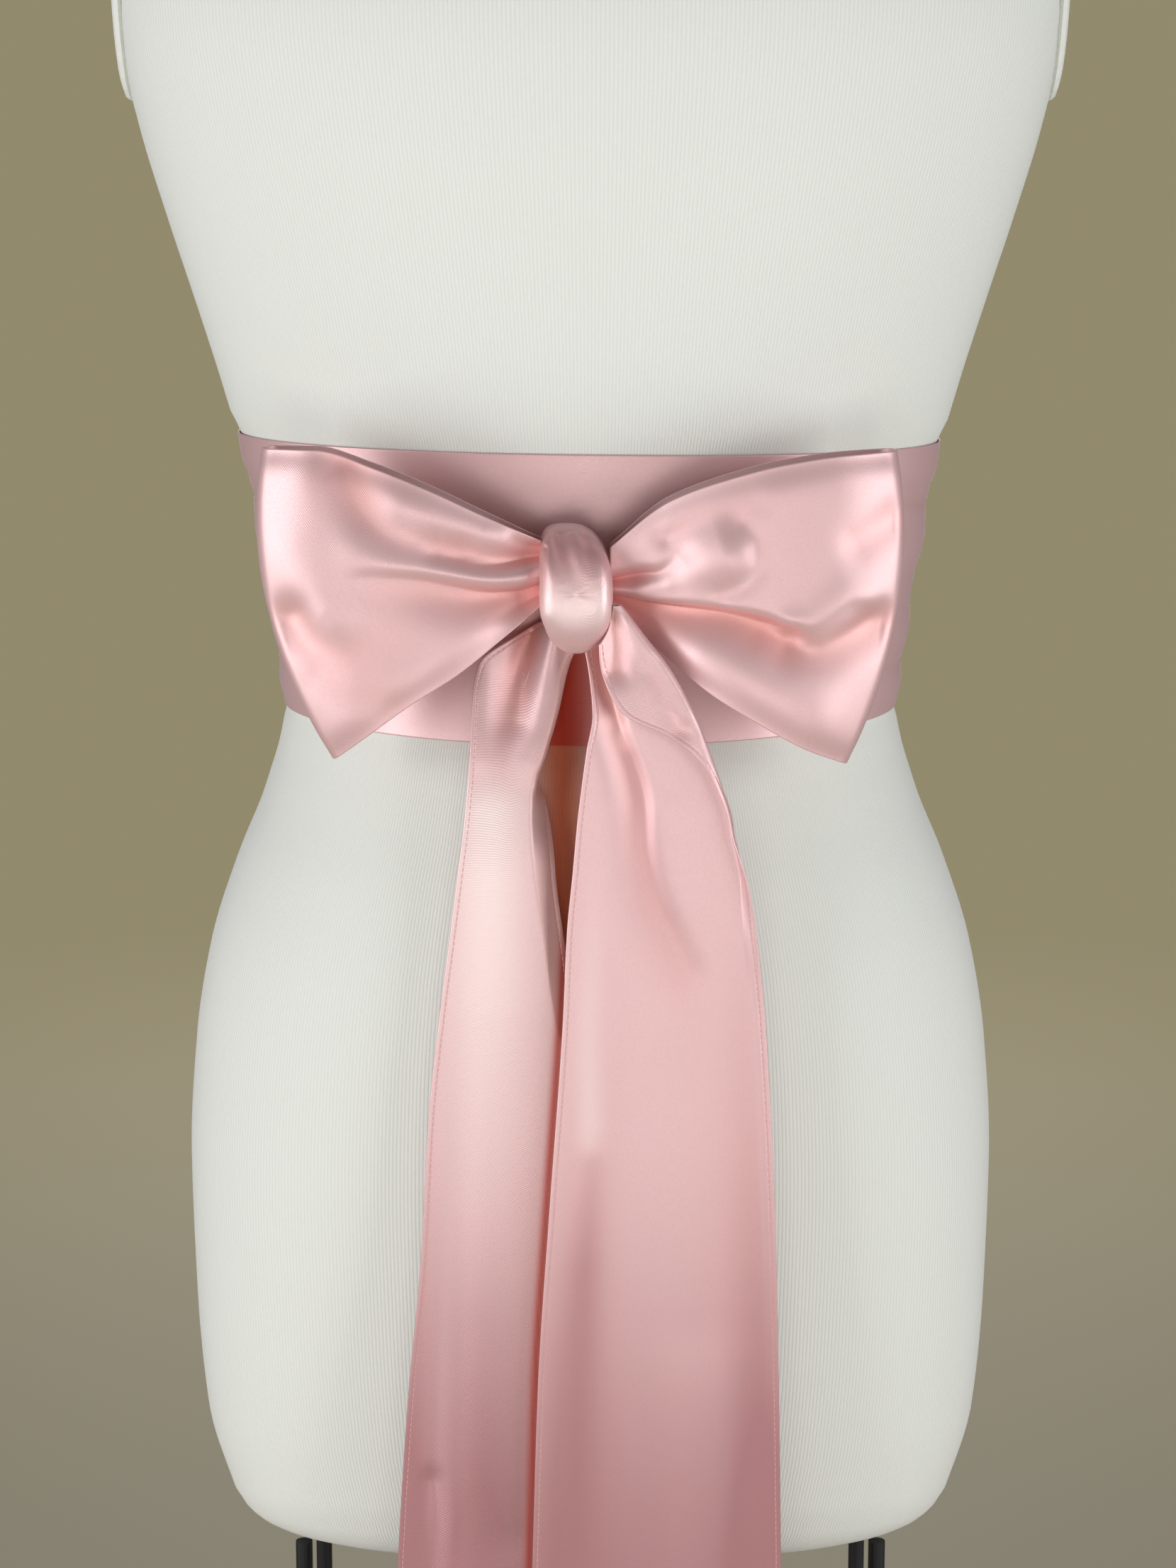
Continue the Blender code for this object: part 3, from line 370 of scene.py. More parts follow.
# Places where painted shade makes a tail's colour deeper, or painted light paler where the strength is
# negative: a path of (x, height) points, and strengths in place of depths
TAIL_LEFT_SHADES = (
    Fold("left edge", ((-0.0610, 0.520), (-0.0700, 0.400), (-0.0760, 0.300), (-0.0830, 0.130)),
         0.0, 0.90, 0.0070, 0.0130),
    Fold("middle", ((-0.0450, 0.470), (-0.0440, 0.350), (-0.0460, 0.200)), 0.0, 0.60, 0.0120, 0.0160),
    Fold("bright upper part", ((-0.0380, 0.618), (-0.0390, 0.580), (-0.0410, 0.530), (-0.0430, 0.420)),
         -0.95, 0.0, 0.0130, 0.0200),
)
TAIL_RIGHT_SHADES = (
    Fold("inner patch top", ((0.0020, 0.492), (0.0000, 0.470), (-0.0025, 0.440)),
         0.15, 0.55, 0.0045, 0.0075),
    Fold("inner patch", ((-0.0025, 0.440), (-0.0055, 0.390), (-0.0090, 0.300)), 0.55, 0.10, 0.0075, 0.0110),
    Fold("right edge", ((0.0560, 0.600), (0.0610, 0.500), (0.0655, 0.400), (0.0700, 0.150)),
         0.0, 0.90, 0.0080, 0.0150),
    Fold("valley", ((0.0150, 0.642), (0.0185, 0.630), (0.0208, 0.612), (0.0245, 0.588), (0.0330, 0.566),
                    (0.0390, 0.545)), 0.55, 0.05, 0.0034, 0.0085),
    Fold("bright edge", ((0.0020, 0.610), (0.0005, 0.570), (-0.0010, 0.530), (0.0000, 0.492)),
         0.0, -0.45, 0.0040, 0.0052),
)
# Folds of the right tail's turned part, which lies on the tail below the knot
TAIL_RIGHT_LEAF_FOLDS = (
    Fold("leaf dip", ((0.0080, 0.694), (0.0092, 0.684), (0.0094, 0.676)), 0.0028, 0.0022, 0.0036, 0.0056),
    Fold("leaf ridge", ((0.0120, 0.700), (0.0200, 0.688), (0.0280, 0.676), (0.0360, 0.660)),
         -0.0014, -0.0012, 0.0040, 0.0056),
    Fold("leaf hollow", ((0.0240, 0.676), (0.0290, 0.668), (0.0340, 0.654)), 0.0012, 0.0014, 0.0044, 0.0050),
)
Tail = namedtuple("Tail", "sections rim_start rim_end turn_radius folds leaf_folds shades")
TAIL_LEFT = Tail(TAIL_LEFT_SECTIONS, -148, -98, 0.0026, TAIL_LEFT_FOLDS + TAIL_LEFT_DETAILS, (),
                 TAIL_LEFT_SHADES)
TAIL_RIGHT = Tail(TAIL_RIGHT_SECTIONS, -78, -8, 0.0026, TAIL_RIGHT_FOLDS + TAIL_RIGHT_DETAILS,
                  TAIL_RIGHT_LEAF_FOLDS, TAIL_RIGHT_SHADES)

# The knot's level rings from back to front, as shares of its shown outline
KnotRing = namedtuple("KnotRing", "fore width_share height_share")
KNOT_RINGS = (
    KnotRing(0.0960, 0.72, 0.66),
    KnotRing(0.0990, 0.90, 0.85),
    KnotRing(0.1040, 1.00, 1.00),
    KnotRing(0.1248, 1.00, 1.00),
    KnotRing(0.1288, 0.975, 0.90),
    KnotRing(0.1318, 0.92, 0.74),
    KnotRing(0.1337, 0.82, 0.54),
    KnotRing(0.1347, 0.66, 0.32),
    KnotRing(0.1350, 0.40, 0.14),
    KnotRing(0.1351, 0.12, 0.04),
    KnotRing(0.1351, 0.01, 0.01),
)
KNOT_FOLDS = (
    Fold("left dip", ((-0.0130, 0.0280), (-0.0092, 0.0150), (-0.0048, 0.0040)),
         0.0034, 0.0002, 0.0030, 0.0034),
    Fold("middle dip", ((-0.0060, 0.0280), (-0.0034, 0.0140), (0.0014, 0.0020)),
         0.0026, 0.0002, 0.0026, 0.0036),
    Fold("right dip", ((0.0030, 0.0280), (0.0056, 0.0150), (0.0078, 0.0060)),
         0.0030, 0.0002, 0.0028, 0.0032),
    Fold("low tuck", ((-0.0100, -0.0130), (-0.0030, -0.0180), (0.0060, -0.0175)),
         0.0006, 0.0003, 0.0030, 0.0030),
    Fold("side crease", ((-0.0128, 0.0170), (-0.0122, 0.0060), (-0.0110, -0.0040)),
         0.0010, 0.0002, 0.0014, 0.0024),
)

BLUSH = (0.80, 0.505, 0.505)
# Painted shade: the coral painted into the satin's creases, deeper with the crease's depth
CREASE_SHADE_CORAL = (0.82, 0.250, 0.190)
THREAD = (0.70, 0.400, 0.380)
JERSEY_LIGHT = (0.86, 0.875, 0.820)
JERSEY_DARK = (0.66, 0.675, 0.620)
# Painted shade: the deep coral painted on the satin and the jersey in the gap between the tails
GAP_SHADE_SATIN = (0.60, 0.100, 0.060)
GAP_SHADE_JERSEY = (0.50, 0.125, 0.050)
# Painted shade: the deeper mauve painted on the tails low down and on the knot's top
PAINTED_SHADE = (0.46, 0.190, 0.205)
# Painted light: the paler colour painted on the knot's middle, the tails' bright parts and the left tail's
# turned edge
PAINTED_LIGHT = (0.97, 0.790, 0.765)
BLACK = (0.018, 0.018, 0.020)
FLOOR = (0.44, 0.40, 0.295)
KHAKI = (0.290, 0.255, 0.155)
ROOM = (0.105, 0.104, 0.102)

# Weave and finish
TWILL_PITCH = 0.00070
GRAIN_SIZE = 0.0009
RIB_COUNT = 600
SATIN_ROUGHNESS = 0.39
SATIN_METAL = 0.35
JERSEY_ROUGHNESS = 0.88

# The floor fades into the backdrop between two distances from its middle
FLOOR_RADIUS = 6.0
FLOOR_DROP = 0.0005
FLOOR_STEPS = 96
FLOOR_FADE_START = 0.3
FLOOR_FADE_END = 2.6

Light = namedtuple("Light", "name place target width height power color")
LIGHTS = (
    Light("left softbox", (-1.35, -0.98, 0.65), (0.0, 0.0, 0.68), 1.2, 1.2, 19.0, (0.96, 0.97, 1.0)),
    Light("right softbox", (1.35, -0.98, 0.65), (0.0, 0.0, 0.68), 1.2, 1.2, 17.0, (0.96, 0.97, 1.0)),
    Light("front fill", (0.0, -1.9, 0.30), (0.0, 0.0, 0.72), 1.0, 0.5, 6.0, (1.0, 0.98, 0.95)),
    Light("back fill", (0.0, 2.4, 1.0), (0.0, 0.0, 0.7), 1.4, 1.4, 22.0, (1.0, 0.97, 0.94)),
)

# The camera, from the photograph: its long side is 2212 pixels and its focal length 4922 pixels
PHOTO_HEIGHT = 2212.0
FOCAL_PIXELS = 4922.0
SENSOR = 36.0
CAMERA_PLACE = (-0.001, -1.42, 0.8737)
CAMERA_PITCH = 10.6


def smooth_step(value):
    value = np.clip(value, 0.0, 1.0)
    return value * value * (3.0 - 2.0 * value)


def smooth_curve(keys, values, at):
    """Reads a smooth curve through the values, with no overshoot. The keys rise."""
    keys = np.asarray(keys, float)
    values = np.asarray(values, float)
    at = np.clip(np.asarray(at, float), keys[0], keys[-1])
    run = np.diff(keys)
    slope = np.diff(values) / run
    tangent = np.zeros_like(values)
    tangent[0] = slope[0]
    tangent[-1] = slope[-1]
    for i in range(1, len(values) - 1):
        if slope[i - 1] * slope[i] > 0.0:
            before = 2.0 * run[i] + run[i - 1]
            after = run[i] + 2.0 * run[i - 1]
            tangent[i] = (before + after) / (before / slope[i - 1] + after / slope[i])
    spot = np.clip(np.searchsorted(keys, at, side="right") - 1, 0, len(run) - 1)
    share = (at - keys[spot]) / run[spot]
    rise = smooth_step(share)
    lead = share * (1.0 - share) ** 2
    trail = share * share * (share - 1.0)
    return (values[spot] * (1.0 - rise) + values[spot + 1] * rise
            + run[spot] * (lead * tangent[spot] + trail * tangent[spot + 1]))


def read_table(rows, field, at):
    """Reads one column of a table at places given in its first column."""
    rows = sorted(rows, key=lambda row: row[0])
    return smooth_curve([row[0] for row in rows], [getattr(row, field) for row in rows], at)


def soften(points, turns):
    """Evens out a row of points, with its two ends kept."""
    points = points.copy()
    for _ in range(turns):
        points[1:-1] = 0.5 * points[1:-1] + 0.25 * (points[:-2] + points[2:])
    return points


def path_points(path):
    """A smooth line through a fold's points, in even steps."""
    places = np.arange(len(path))
    steps = np.linspace(0, len(path) - 1, PATH_STEPS)
    line = np.stack([smooth_curve(places, [point[i] for point in path], steps) for i in (0, 1)], axis=1)
    return soften(line, 12)


def fold_depth(fold, first, second):
    """How far one fold moves the cloth back, at places given in its path's two measures."""
    line = path_points(fold.path)
    place = np.stack((first, second), axis=-1)
    reach = FOLD_REACH * max(fold.half_start, fold.half_end) * max(fold.above, fold.below)
    near = np.all((place > line.min(axis=0) - reach) & (place < line.max(axis=0) + reach), axis=-1)
    depth = np.zeros(near.shape)
    depth[near] = near_fold_depth(fold, line, place[near])
    return depth


def near_fold_depth(fold, line, place):
    place = place[:, None, :]
    start = line[:-1]
    step = line[1:] - start
    length = np.linalg.norm(step, axis=1)
    share = np.clip(((place - start) * step).sum(axis=-1) / length ** 2, 0.0, 1.0)
    offset = place - (start + share[..., None] * step)
    distance = np.linalg.norm(offset, axis=-1)
    nearest = distance.argmin(axis=-1)[..., None]
    reach = np.concatenate(([0.0], np.cumsum(length)))
    along = np.take_along_axis(reach[:-1] + share * length, nearest, axis=-1)[..., 0] / reach[-1]
    cross = (step[:, 0] * offset[..., 1] - step[:, 1] * offset[..., 0]) / length
    side = np.take_along_axis(cross, nearest, axis=-1)[..., 0]
    gap = np.take_along_axis(distance, nearest, axis=-1)[..., 0]
    side = side / np.maximum(gap, 1e-9)
    half = fold.half_start + (fold.half_end - fold.half_start) * along
    half = half * (fold.below + (fold.above - fold.below) * (0.5 + 0.5 * side))
    depth = fold.depth_start + (fold.depth_end - fold.depth_start) * along
    return depth * np.exp(-(gap / half) ** fold.power)


def grid_normals(points, closed):
    along = np.gradient(points, axis=0)
    if closed:
        across = np.roll(points, -1, axis=1) - np.roll(points, 1, axis=1)
    else:
        across = np.gradient(points, axis=1)
    normal = np.cross(along, across)
    return normal / np.maximum(np.linalg.norm(normal, axis=2, keepdims=True), 1e-12)


def arc_lengths(points, axis):
    """The length walked along a grid's lines, from their first points."""
    step = np.linalg.norm(np.diff(points, axis=axis), axis=-1)
    first = np.zeros_like(np.take(step, [0], axis=axis))
    return np.concatenate((first, np.cumsum(step, axis=axis)), axis=axis)


def crowded(steps, start=True, end=True):
    """Shares from 0 to 1 that lie closer together near the chosen ends."""
    share = np.linspace(0.0, 1.0, steps + 1)
    if start and end:
        return share - EDGE_CROWDING * np.sin(2.0 * math.pi * share) / (2.0 * math.pi)
    if start:
        return share - EDGE_CROWDING * np.sin(math.pi * share) / math.pi
    return share + EDGE_CROWDING * np.sin(math.pi * share) / math.pi


def grid_faces(rows, columns, closed):
    faces = []
    for i in range(rows - 1):
        for j in range(columns if closed else columns - 1):
            k = (j + 1) % columns
            faces.append((i * columns + j, i * columns + k, (i + 1) * columns + k, (i + 1) * columns + j))
    return faces


def rim_faces(rows, columns, closed):
    """Faces that join the edges of two grids of points, the first just before the second."""
    count = rows * columns
    rims = []
    for j in range(columns if closed else columns - 1):
        k = (j + 1) % columns
        rims.append((j, k))
        rims.append(((rows - 1) * columns + k, (rows - 1) * columns + j))
    if not closed:
        for i in range(rows - 1):
            rims.append(((i + 1) * columns, i * columns))
            rims.append((i * columns + columns - 1, (i + 1) * columns + columns - 1))
    return [(b, a, a + count, b + count) for a, b in rims]


def inside_out(points, faces):
    """Whether a closed mesh faces inwards, from its signed volume."""
    corners = points[np.array([face[:3] for face in faces])]
    return np.einsum("ij,ij->i", corners[:, 0], np.cross(corners[:, 1], corners[:, 2])).sum() < 0.0


def add_piece(name, points, faces, material, places=None):
    """Adds a mesh. Places are three measures kept for each point, which the material reads."""
    points = np.asarray(points, float)
    if inside_out(points, faces):
        faces = [tuple(reversed(face)) for face in faces]
    mesh = bpy.data.meshes.new(name)
    mesh.from_pydata(points.tolist(), [], faces)
    mesh.shade_smooth()
    for key, values in (places or {}).items():
        attribute = mesh.attributes.new(key, "FLOAT_VECTOR", "POINT")
        attribute.data.foreach_set("vector", np.asarray(values, np.float32).ravel())
    mesh.materials.append(material)
    piece = bpy.data.objects.new(name, mesh)
    bpy.context.scene.collection.objects.link(piece)
    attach(piece, "root")
    return piece


def shell_piece(name, middle, half, closed, material, tints):
    """A thin closed wall on each side of a grid of points. The material reads where a point lies along and
    across the strip, its distance from the nearest edge, and its painted tints: painted crease shade by how
    deep in a crease it is, painted shade and bounce by how strongly its neighbours' colour is thrown on it,
    and painted shade towards the deeper colour, or below zero painted light towards the paler one."""
    rows, columns = middle.shape[:2]
    normal = grid_normals(middle, closed)
    outer = middle + normal * half[..., None]
    inner = middle - normal * half[..., None]
    across = arc_lengths(middle, 1)
    edge = np.minimum(across, across[:, -1:] - across)
    if closed:
        across = edge
        edge = np.minimum(arc_lengths(middle, 0), arc_lengths(middle[::-1], 0)[::-1])
    strip = np.stack((arc_lengths(middle, 0), across, edge), axis=-1).reshape(-1, 3)
    # Painted shade and painted light, which the material mixes into the satin's colour
    tint = np.clip(np.stack(tints, axis=-1), (0.0, 0.0, -1.0), 1.0).reshape(-1, 3)
    points = np.concatenate((outer.reshape(-1, 3), inner.reshape(-1, 3)))
    faces = grid_faces(rows, columns, closed)
    faces += [tuple(index + rows * columns for index in reversed(face)) for face in faces]
    faces += rim_faces(rows, columns, closed)
    places = {"cloth_place": np.concatenate((strip, strip)), "cloth_painted_shade": np.concatenate((tint, tint))}
    return add_piece(name, points, faces, material, places)


def edge_half(distance, sewn):
    """Half the cloth's thickness by the distance from its edge: round there, thicker up to a sewn line."""
    rounded = np.sqrt(np.clip(1.0 - (1.0 - np.clip(distance / EDGE_ROUND, 0.0, 1.0)) ** 2, 0.02, 1.0))
    lift = HEM_LIFT * (1.0 - smooth_step((distance - SEW_LINE) / SEW_GROOVE_HALF))
    groove = SEW_GROOVE * np.exp(-((distance - SEW_LINE) / SEW_GROOVE_HALF) ** 2)
    return (CLOTH / 2.0 + sewn * (lift - groove)) * rounded


def stack_piece(name, rings, material, places=None):
    """Closes a stack of rings into one mesh, with a fan at each end."""
    rows, columns = rings.shape[:2]
    centres = (rings[0].mean(axis=0)[None], rings[-1].mean(axis=0)[None])
    points = np.concatenate((rings.reshape(-1, 3), *centres))
    faces = grid_faces(rows, columns, True)
    first = rows * columns
    for j in range(columns):
        k = (j + 1) % columns
        faces.append((k, j, first))
        faces.append(((rows - 1) * columns + j, (rows - 1) * columns + k, first + 1))
    return add_piece(name, points, faces, material, places)


def stitch_piece(name, line, normal, material):
    """A row of short stitches that lie on a line of points."""
    walked = arc_lengths(line, 0)
    starts = np.arange(STITCH_PITCH, walked[-1] - STITCH_PITCH, STITCH_PITCH)
    shares = np.array((-0.5, -0.42, -0.2, 0.2, 0.42, 0.5))
    radii = STITCH_RADIUS * np.array((0.15, 0.7, 1.0, 1.0, 0.7, 0.15))
    turn = np.arange(6) * math.pi / 3.0
    points = []
    faces = []
    for start in starts:
        at = start + shares * STITCH_LENGTH
        centre = np.stack([np.interp(at, walked, line[:, i]) for i in range(3)], axis=1)
        up = np.array([np.interp(start, walked, normal[:, i]) for i in range(3)])
        up = up / np.linalg.norm(up)
        along = centre[-1] - centre[0]
        across = np.cross(along, up)
        across = across / np.linalg.norm(across)
        ring = across * np.cos(turn)[:, None] + up * np.sin(turn)[:, None]
        base = len(points)
        points.extend((centre[:, None, :] + radii[:, None, None] * ring).reshape(-1, 3).tolist())
        faces.extend(tuple(base + index for index in face) for face in grid_faces(6, 6, True))
        faces.append(tuple(base + index for index in range(5, -1, -1)))
        faces.append(tuple(base + 30 + index for index in range(6)))
    return add_piece(name, points, faces, material)


def ring_height(height, angle):
    """The height of a ring at an angle: the band rides up at the sides and tilts a little."""
    side = np.sin(angle)
    lift = BAND_RIDE_UP * side ** 2 * math.exp(-((height - BAND_BOTTOM) / 0.05) ** 2)
    tilt = BAND_TILT * side * math.exp(-((height - BAND_TOP) / 0.08) ** 2)
    return height + lift - tilt


def torso_ring(height, angle, inset, rise=0.0):
    """Points of the torso at one level. Angle 0 is the front, and a quarter turn is +X."""
    level = ring_height(height, angle)
    half_width = read_table(TORSO, "half_width", level) - inset
    front = read_table(TORSO, "front", level) - inset
    back = read_table(TORSO, "back", level) - inset
    power = 2.0 / read_table(TORSO, "squareness", level)
    side = np.sin(angle)
    face = np.cos(angle)
    x = half_width * np.sign(side) * np.abs(side) ** power
    fore = np.where(face > 0.0, front, back) * np.sign(face) * np.abs(face) ** power
    x = np.clip(x, -ARM_CUT, ARM_CUT)
    return np.stack((x, -fore, level + rise * face ** 2), axis=-1)


def round_angles(steps):
    return np.arange(steps) * 2.0 * math.pi / steps


def band_sink(height):
    """How far the band presses the jersey in."""
    above = smooth_step((height - BAND_BOTTOM + 0.009) / 0.010)
    below = smooth_step((BAND_TOP + 0.008 - height) / 0.009)
    return BAND_SINK * above * below


def even_angles(height, steps):
    """Angles that divide a ring of the torso into even lengths, so that the ribs are even."""
    fine = np.linspace(0.0, 2.0 * math.pi, 4 * steps + 1)
    ring = torso_ring(height, fine, 0.0)
    walked = arc_lengths(ring, 0)
    return np.interp(np.arange(steps) * walked[-1] / steps, walked, fine)


def build_torso(material):
    share = round_angles(ROUND_STEPS)
    rings = []
    for turn in HEM_TURN:
        angle = even_angles(turn.height, ROUND_STEPS)
        rings.append(torso_ring(turn.height, angle, turn.inset, HEM_RISE * turn.rise_share))
    rings[0][:, 2] = FORM_BOTTOM
    for height in np.linspace(HEM_LEVEL + 0.004, TORSO[-1].height, TORSO_ROWS):
        rise = HEM_RISE * float(smooth_step(1.0 - (height - HEM_LEVEL) / HEM_FADE))
        rings.append(torso_ring(height, even_angles(height, ROUND_STEPS), band_sink(height), rise))
    rings = np.array(rings)
    place = np.stack((np.cos(share), np.sin(share), share * 0.0), axis=-1)
    place = np.tile(place, (len(rings), 1))
    # Painted shade in the gap between the tails, kept as the jersey's third measure
    place[:, 2] = painted_gap_shade(rings).reshape(-1)
    place = np.concatenate((place, ((1.0, 0.0, 0.0), (1.0, 0.0, 0.0))))
    piece = stack_piece("torso_jersey", rings, material, {"round_place": place})
    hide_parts("form_torso")
    return piece


def painted_gap_shade(points):
    """Painted shade and painted coral bounce light: how strongly the tails' colour is thrown into the narrow
    place between them.
    """
    x, y, z = points[..., 0], points[..., 1], points[..., 2]
    across = np.exp(-((x - GLOW_X) / GLOW_HALF_WIDTH) ** 2)
    up = smooth_step((z - GLOW_BOTTOM) / GLOW_FADE) * smooth_step((GLOW_TOP - z) / GLOW_FADE)
    return across * up * (y < 0.0)


def build_band(material):
    angle = round_angles(ROUND_STEPS) + math.pi
    from_back = np.degrees(math.pi - np.abs(angle - 2.0 * math.pi))
    pleated = smooth_step((PLEATS_GONE - from_back) / (PLEATS_GONE - PLEATS_FULL))
    share = crowded(BAND_ROWS)
    middle = []
    crease = []
    for part in share:
        height = BAND_BOTTOM + (BAND_TOP - BAND_BOTTOM) * part
        stands = (pleat.depth * math.exp(-((part - pleat.share) / pleat.half_share) ** 2) for pleat in PLEATS)
        stand = sum(stands) * pleated
        for fold in BAND_CREASES:
            centre = fold.share + fold.wander * np.sin(fold.waves * angle + fold.start)
            stand = stand + fold.depth * pleated * np.exp(-((part - centre) / fold.half_share) ** 2)
        out = CLOTH_GAP + SOLID_CLOTH / 2.0 + stand
        ring = torso_ring(height, angle, band_sink(height) - out)
        middle.append(ring)
        # Painted shade: the band's creases are painted towards coral by their depth
        crease.append(-stand / BAND_CREASE_FULL)
    middle = np.array(middle)
    distance = (BAND_TOP - BAND_BOTTOM) * np.minimum(share, 1.0 - share)
    half = edge_half(distance, 0.0)[:, None] + 0.0 * middle[..., 0]
    # Painted shade on the band in the gap between the tails
    glow = painted_gap_shade(middle)
    piece = shell_piece("band_satin", middle, half, True, material, (np.array(crease), glow, glow * 0.0))
    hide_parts("sash_band")
    return piece


def loop_profile(loop):
    """A loop's level section with no folds: shares of reach, distances forward, shares of front layer."""
    start = math.radians(ROLL_ANGLE)
    middle = 1.0 - loop.turn_radius / (loop.sections[-1].top_out - LOOP_START)
    front = np.linspace(0.0, 1.0, LOOP_FRONT_STEPS + 1)
    turn = np.linspace(start, math.pi, LOOP_TURN_STEPS + 1)[1:-1]
    back = np.linspace(1.0, 0.0, LOOP_BACK_STEPS + 1)
    front_end = loop.fore_end + loop.turn_radius * math.cos(start)
    rolled = np.clip((front - ROLL_SHARE) / (1.0 - ROLL_SHARE), 0.0, 1.0) ** 2
    front_fore = loop.fore_front + (front_end + END_ROLL - loop.fore_front) * smooth_step(front)
    front_fore = front_fore + loop.bulge * np.sin(math.pi * front) - END_ROLL * rolled
    turn_fore = loop.fore_end + loop.turn_radius * np.cos(turn)
    back_fore = loop.fore_back + (loop.fore_end - loop.turn_radius - loop.fore_back) * smooth_step(back)
    turn_layer = (1.0 + np.cos(turn)) / (1.0 + math.cos(start))
    front_share = front * (middle + (1.0 - middle) * math.sin(start))
    share = np.concatenate((front_share, middle + (1.0 - middle) * np.sin(turn), middle * back))
    fore = np.concatenate((front_fore, turn_fore, back_fore))
    layer = np.concatenate((np.ones(len(front)), turn_layer, np.zeros(len(back))))
    return share, fore, layer


def loop_grid(loop):
    """The loop's middle surface with no folds, and its places as out, up, share of front layer and down."""
    down = crowded(LOOP_ROWS)
    share, fore, layer = loop_profile(loop)
    top_out, top_up, low_out, low_up = (read_table(loop.sections, field, share)[:, None]
                                        for field in ("top_out", "top_up", "low_out", "low_up"))
    bow = loop.end_bow * (share[:, None] ** 2) * 4.0 * down * (1.0 - down)
    out = top_out + (low_out - top_out) * down + bow
    up = top_up + (low_up - top_up) * down
    recess = loop.low_recess * down ** 2 * (1.0 - smooth_step(share[:, None] / 0.6))
    fore = fore[:, None] - recess + 0.0 * down
    return out, up, fore, layer[:, None] + 0.0 * down


def build_loop(name, node, loop, material):
    out, up, fore, layer = loop_grid(loop)
    middle = np.stack((KNOT_X + loop.side * out, -fore, KNOT_HEIGHT + up), axis=-1)
    normal = grid_normals(middle, False) * -loop.side
    level = np.array((0.0, -1.0, 0.0)) * np.sign(layer - 0.5)[..., None]
    away = smooth_step((out - LOOP_START) / LOOP_EASE)[..., None]
    normal = level * (1.0 - away) + normal * away
    main = sum(fold_depth(fold, out, up) for fold in loop.folds)
    small = sum(fold_depth(fold, out, up) for fold in loop.details)
    depth = main * (LOOP_BACK_FOLDS + (1.0 - LOOP_BACK_FOLDS) * layer) + small * layer
    across = arc_lengths(middle, 1)
    edge = np.minimum(across, across[:, -1:] - across)
    curl = EDGE_CURL * np.exp(-(edge / EDGE_CURL_REACH) ** 2) * away[..., 0]
    middle = middle - normal * ((depth + curl) * (2.0 * layer - 1.0))[..., None]
    half = edge_half(edge, 0.0)
    # Painted shade: the loop's folds are painted towards coral by their depth
    crease = (main + small) / LOOP_CREASE_FULL * layer
    piece = shell_piece(name, middle, half, False, material, (crease, crease * 0.0, crease * 0.0))
    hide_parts(node)
    return piece


def knot_outline(turn, width, height):
    """A point of a squarish oval, by its angle from +X."""
    blend = 0.5 + 0.5 * np.sin(turn)
    power = 2.0 / (KNOT_LOW_SQUARENESS + (KNOT_TOP_SQUARENESS - KNOT_LOW_SQUARENESS) * blend)
    x = width * np.sign(np.cos(turn)) * np.abs(np.cos(turn)) ** power
    z = height * np.sign(np.sin(turn)) * np.abs(np.sin(turn)) ** power
    return x, z


def build_knot(material):
    turn = round_angles(KNOT_STEPS)
    place = np.linspace(0.0, len(KNOT_RINGS) - 1.0, KNOT_ROWS)
    index = np.arange(len(KNOT_RINGS))
    fore, width, height = (smooth_curve(index, [getattr(ring, field) for ring in KNOT_RINGS], place)[:, None]
                           for field in ("fore", "width_share", "height_share"))
    x, z = knot_outline(turn[None, :], KNOT_HALF_WIDTH * width, KNOT_HALF_HEIGHT * height)
    x = x - KNOT_LEAN * np.clip(z / KNOT_HALF_HEIGHT, 0.0, 1.0) ** 2
    front = smooth_step((fore - KNOT_FRONT_START) / KNOT_FRONT_FADE)
    depth = sum(fold_depth(fold, x, z) for fold in KNOT_FOLDS)
    middle = np.stack((KNOT_X + x, -(fore + 0.0 * x), KNOT_HEIGHT + z), axis=-1)
    outward = grid_normals(middle, True)
    facing = np.sign((outward * (middle - middle.mean(axis=(0, 1)))).sum())
    middle = middle - outward * facing * (depth * front)[..., None]
    strip = np.stack((arc_lengths(middle, 0), x, z * 0.0 + 0.01), axis=-1)
    # Painted shade: the knot's dips are painted towards coral by their depth
    crease = np.clip(depth * front / KNOT_CREASE_FULL, 0.0, 1.0)
    # Painted shade on the knot's top, which faces up, and a painted highlight across its middle
    painted_tone = KNOT_DUSK * smooth_step((z - KNOT_DUSK_START) / KNOT_DUSK_FADE)
    painted_tone = painted_tone - KNOT_PALE * np.exp(-((z - KNOT_PALE_MIDDLE) / KNOT_PALE_HALF) ** 2)
    tint = np.stack((crease, crease * 0.0, painted_tone * front), axis=-1)
    ends = np.zeros((2, 3))
    places = {"cloth_place": np.concatenate((strip.reshape(-1, 3), ends)),
              "cloth_painted_shade": np.concatenate((tint.reshape(-1, 3), ends))}
    piece = stack_piece("knot_satin", middle, material, places)
    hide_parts("sash_knot")
    return piece


def leaf_curve(length, turn, radius, places):
    """The turned part of a tail's section, as steps across and forward from where it starts."""
    bend = np.maximum(radius * np.abs(turn), 1e-4)
    bend_share = np.clip(bend / length, 0.05, 1.0)
    fine = np.linspace(0.0, 1.0, 121)
    heading = turn * smooth_step(fine / bend_share)
    step = length / (len(fine) - 1)
    across = np.concatenate(([0.0], np.cumsum(np.cos(heading[:-1]) * step)))
    forward = np.concatenate(([0.0], np.cumsum(np.sin(heading[:-1]) * step)))
    counted = smooth_step((math.degrees(abs(turn)) - REACH_NONE) / (REACH_FULL - REACH_NONE))
    return (np.interp(places, fine, across), np.interp(places, fine, forward), across.max() * counted)


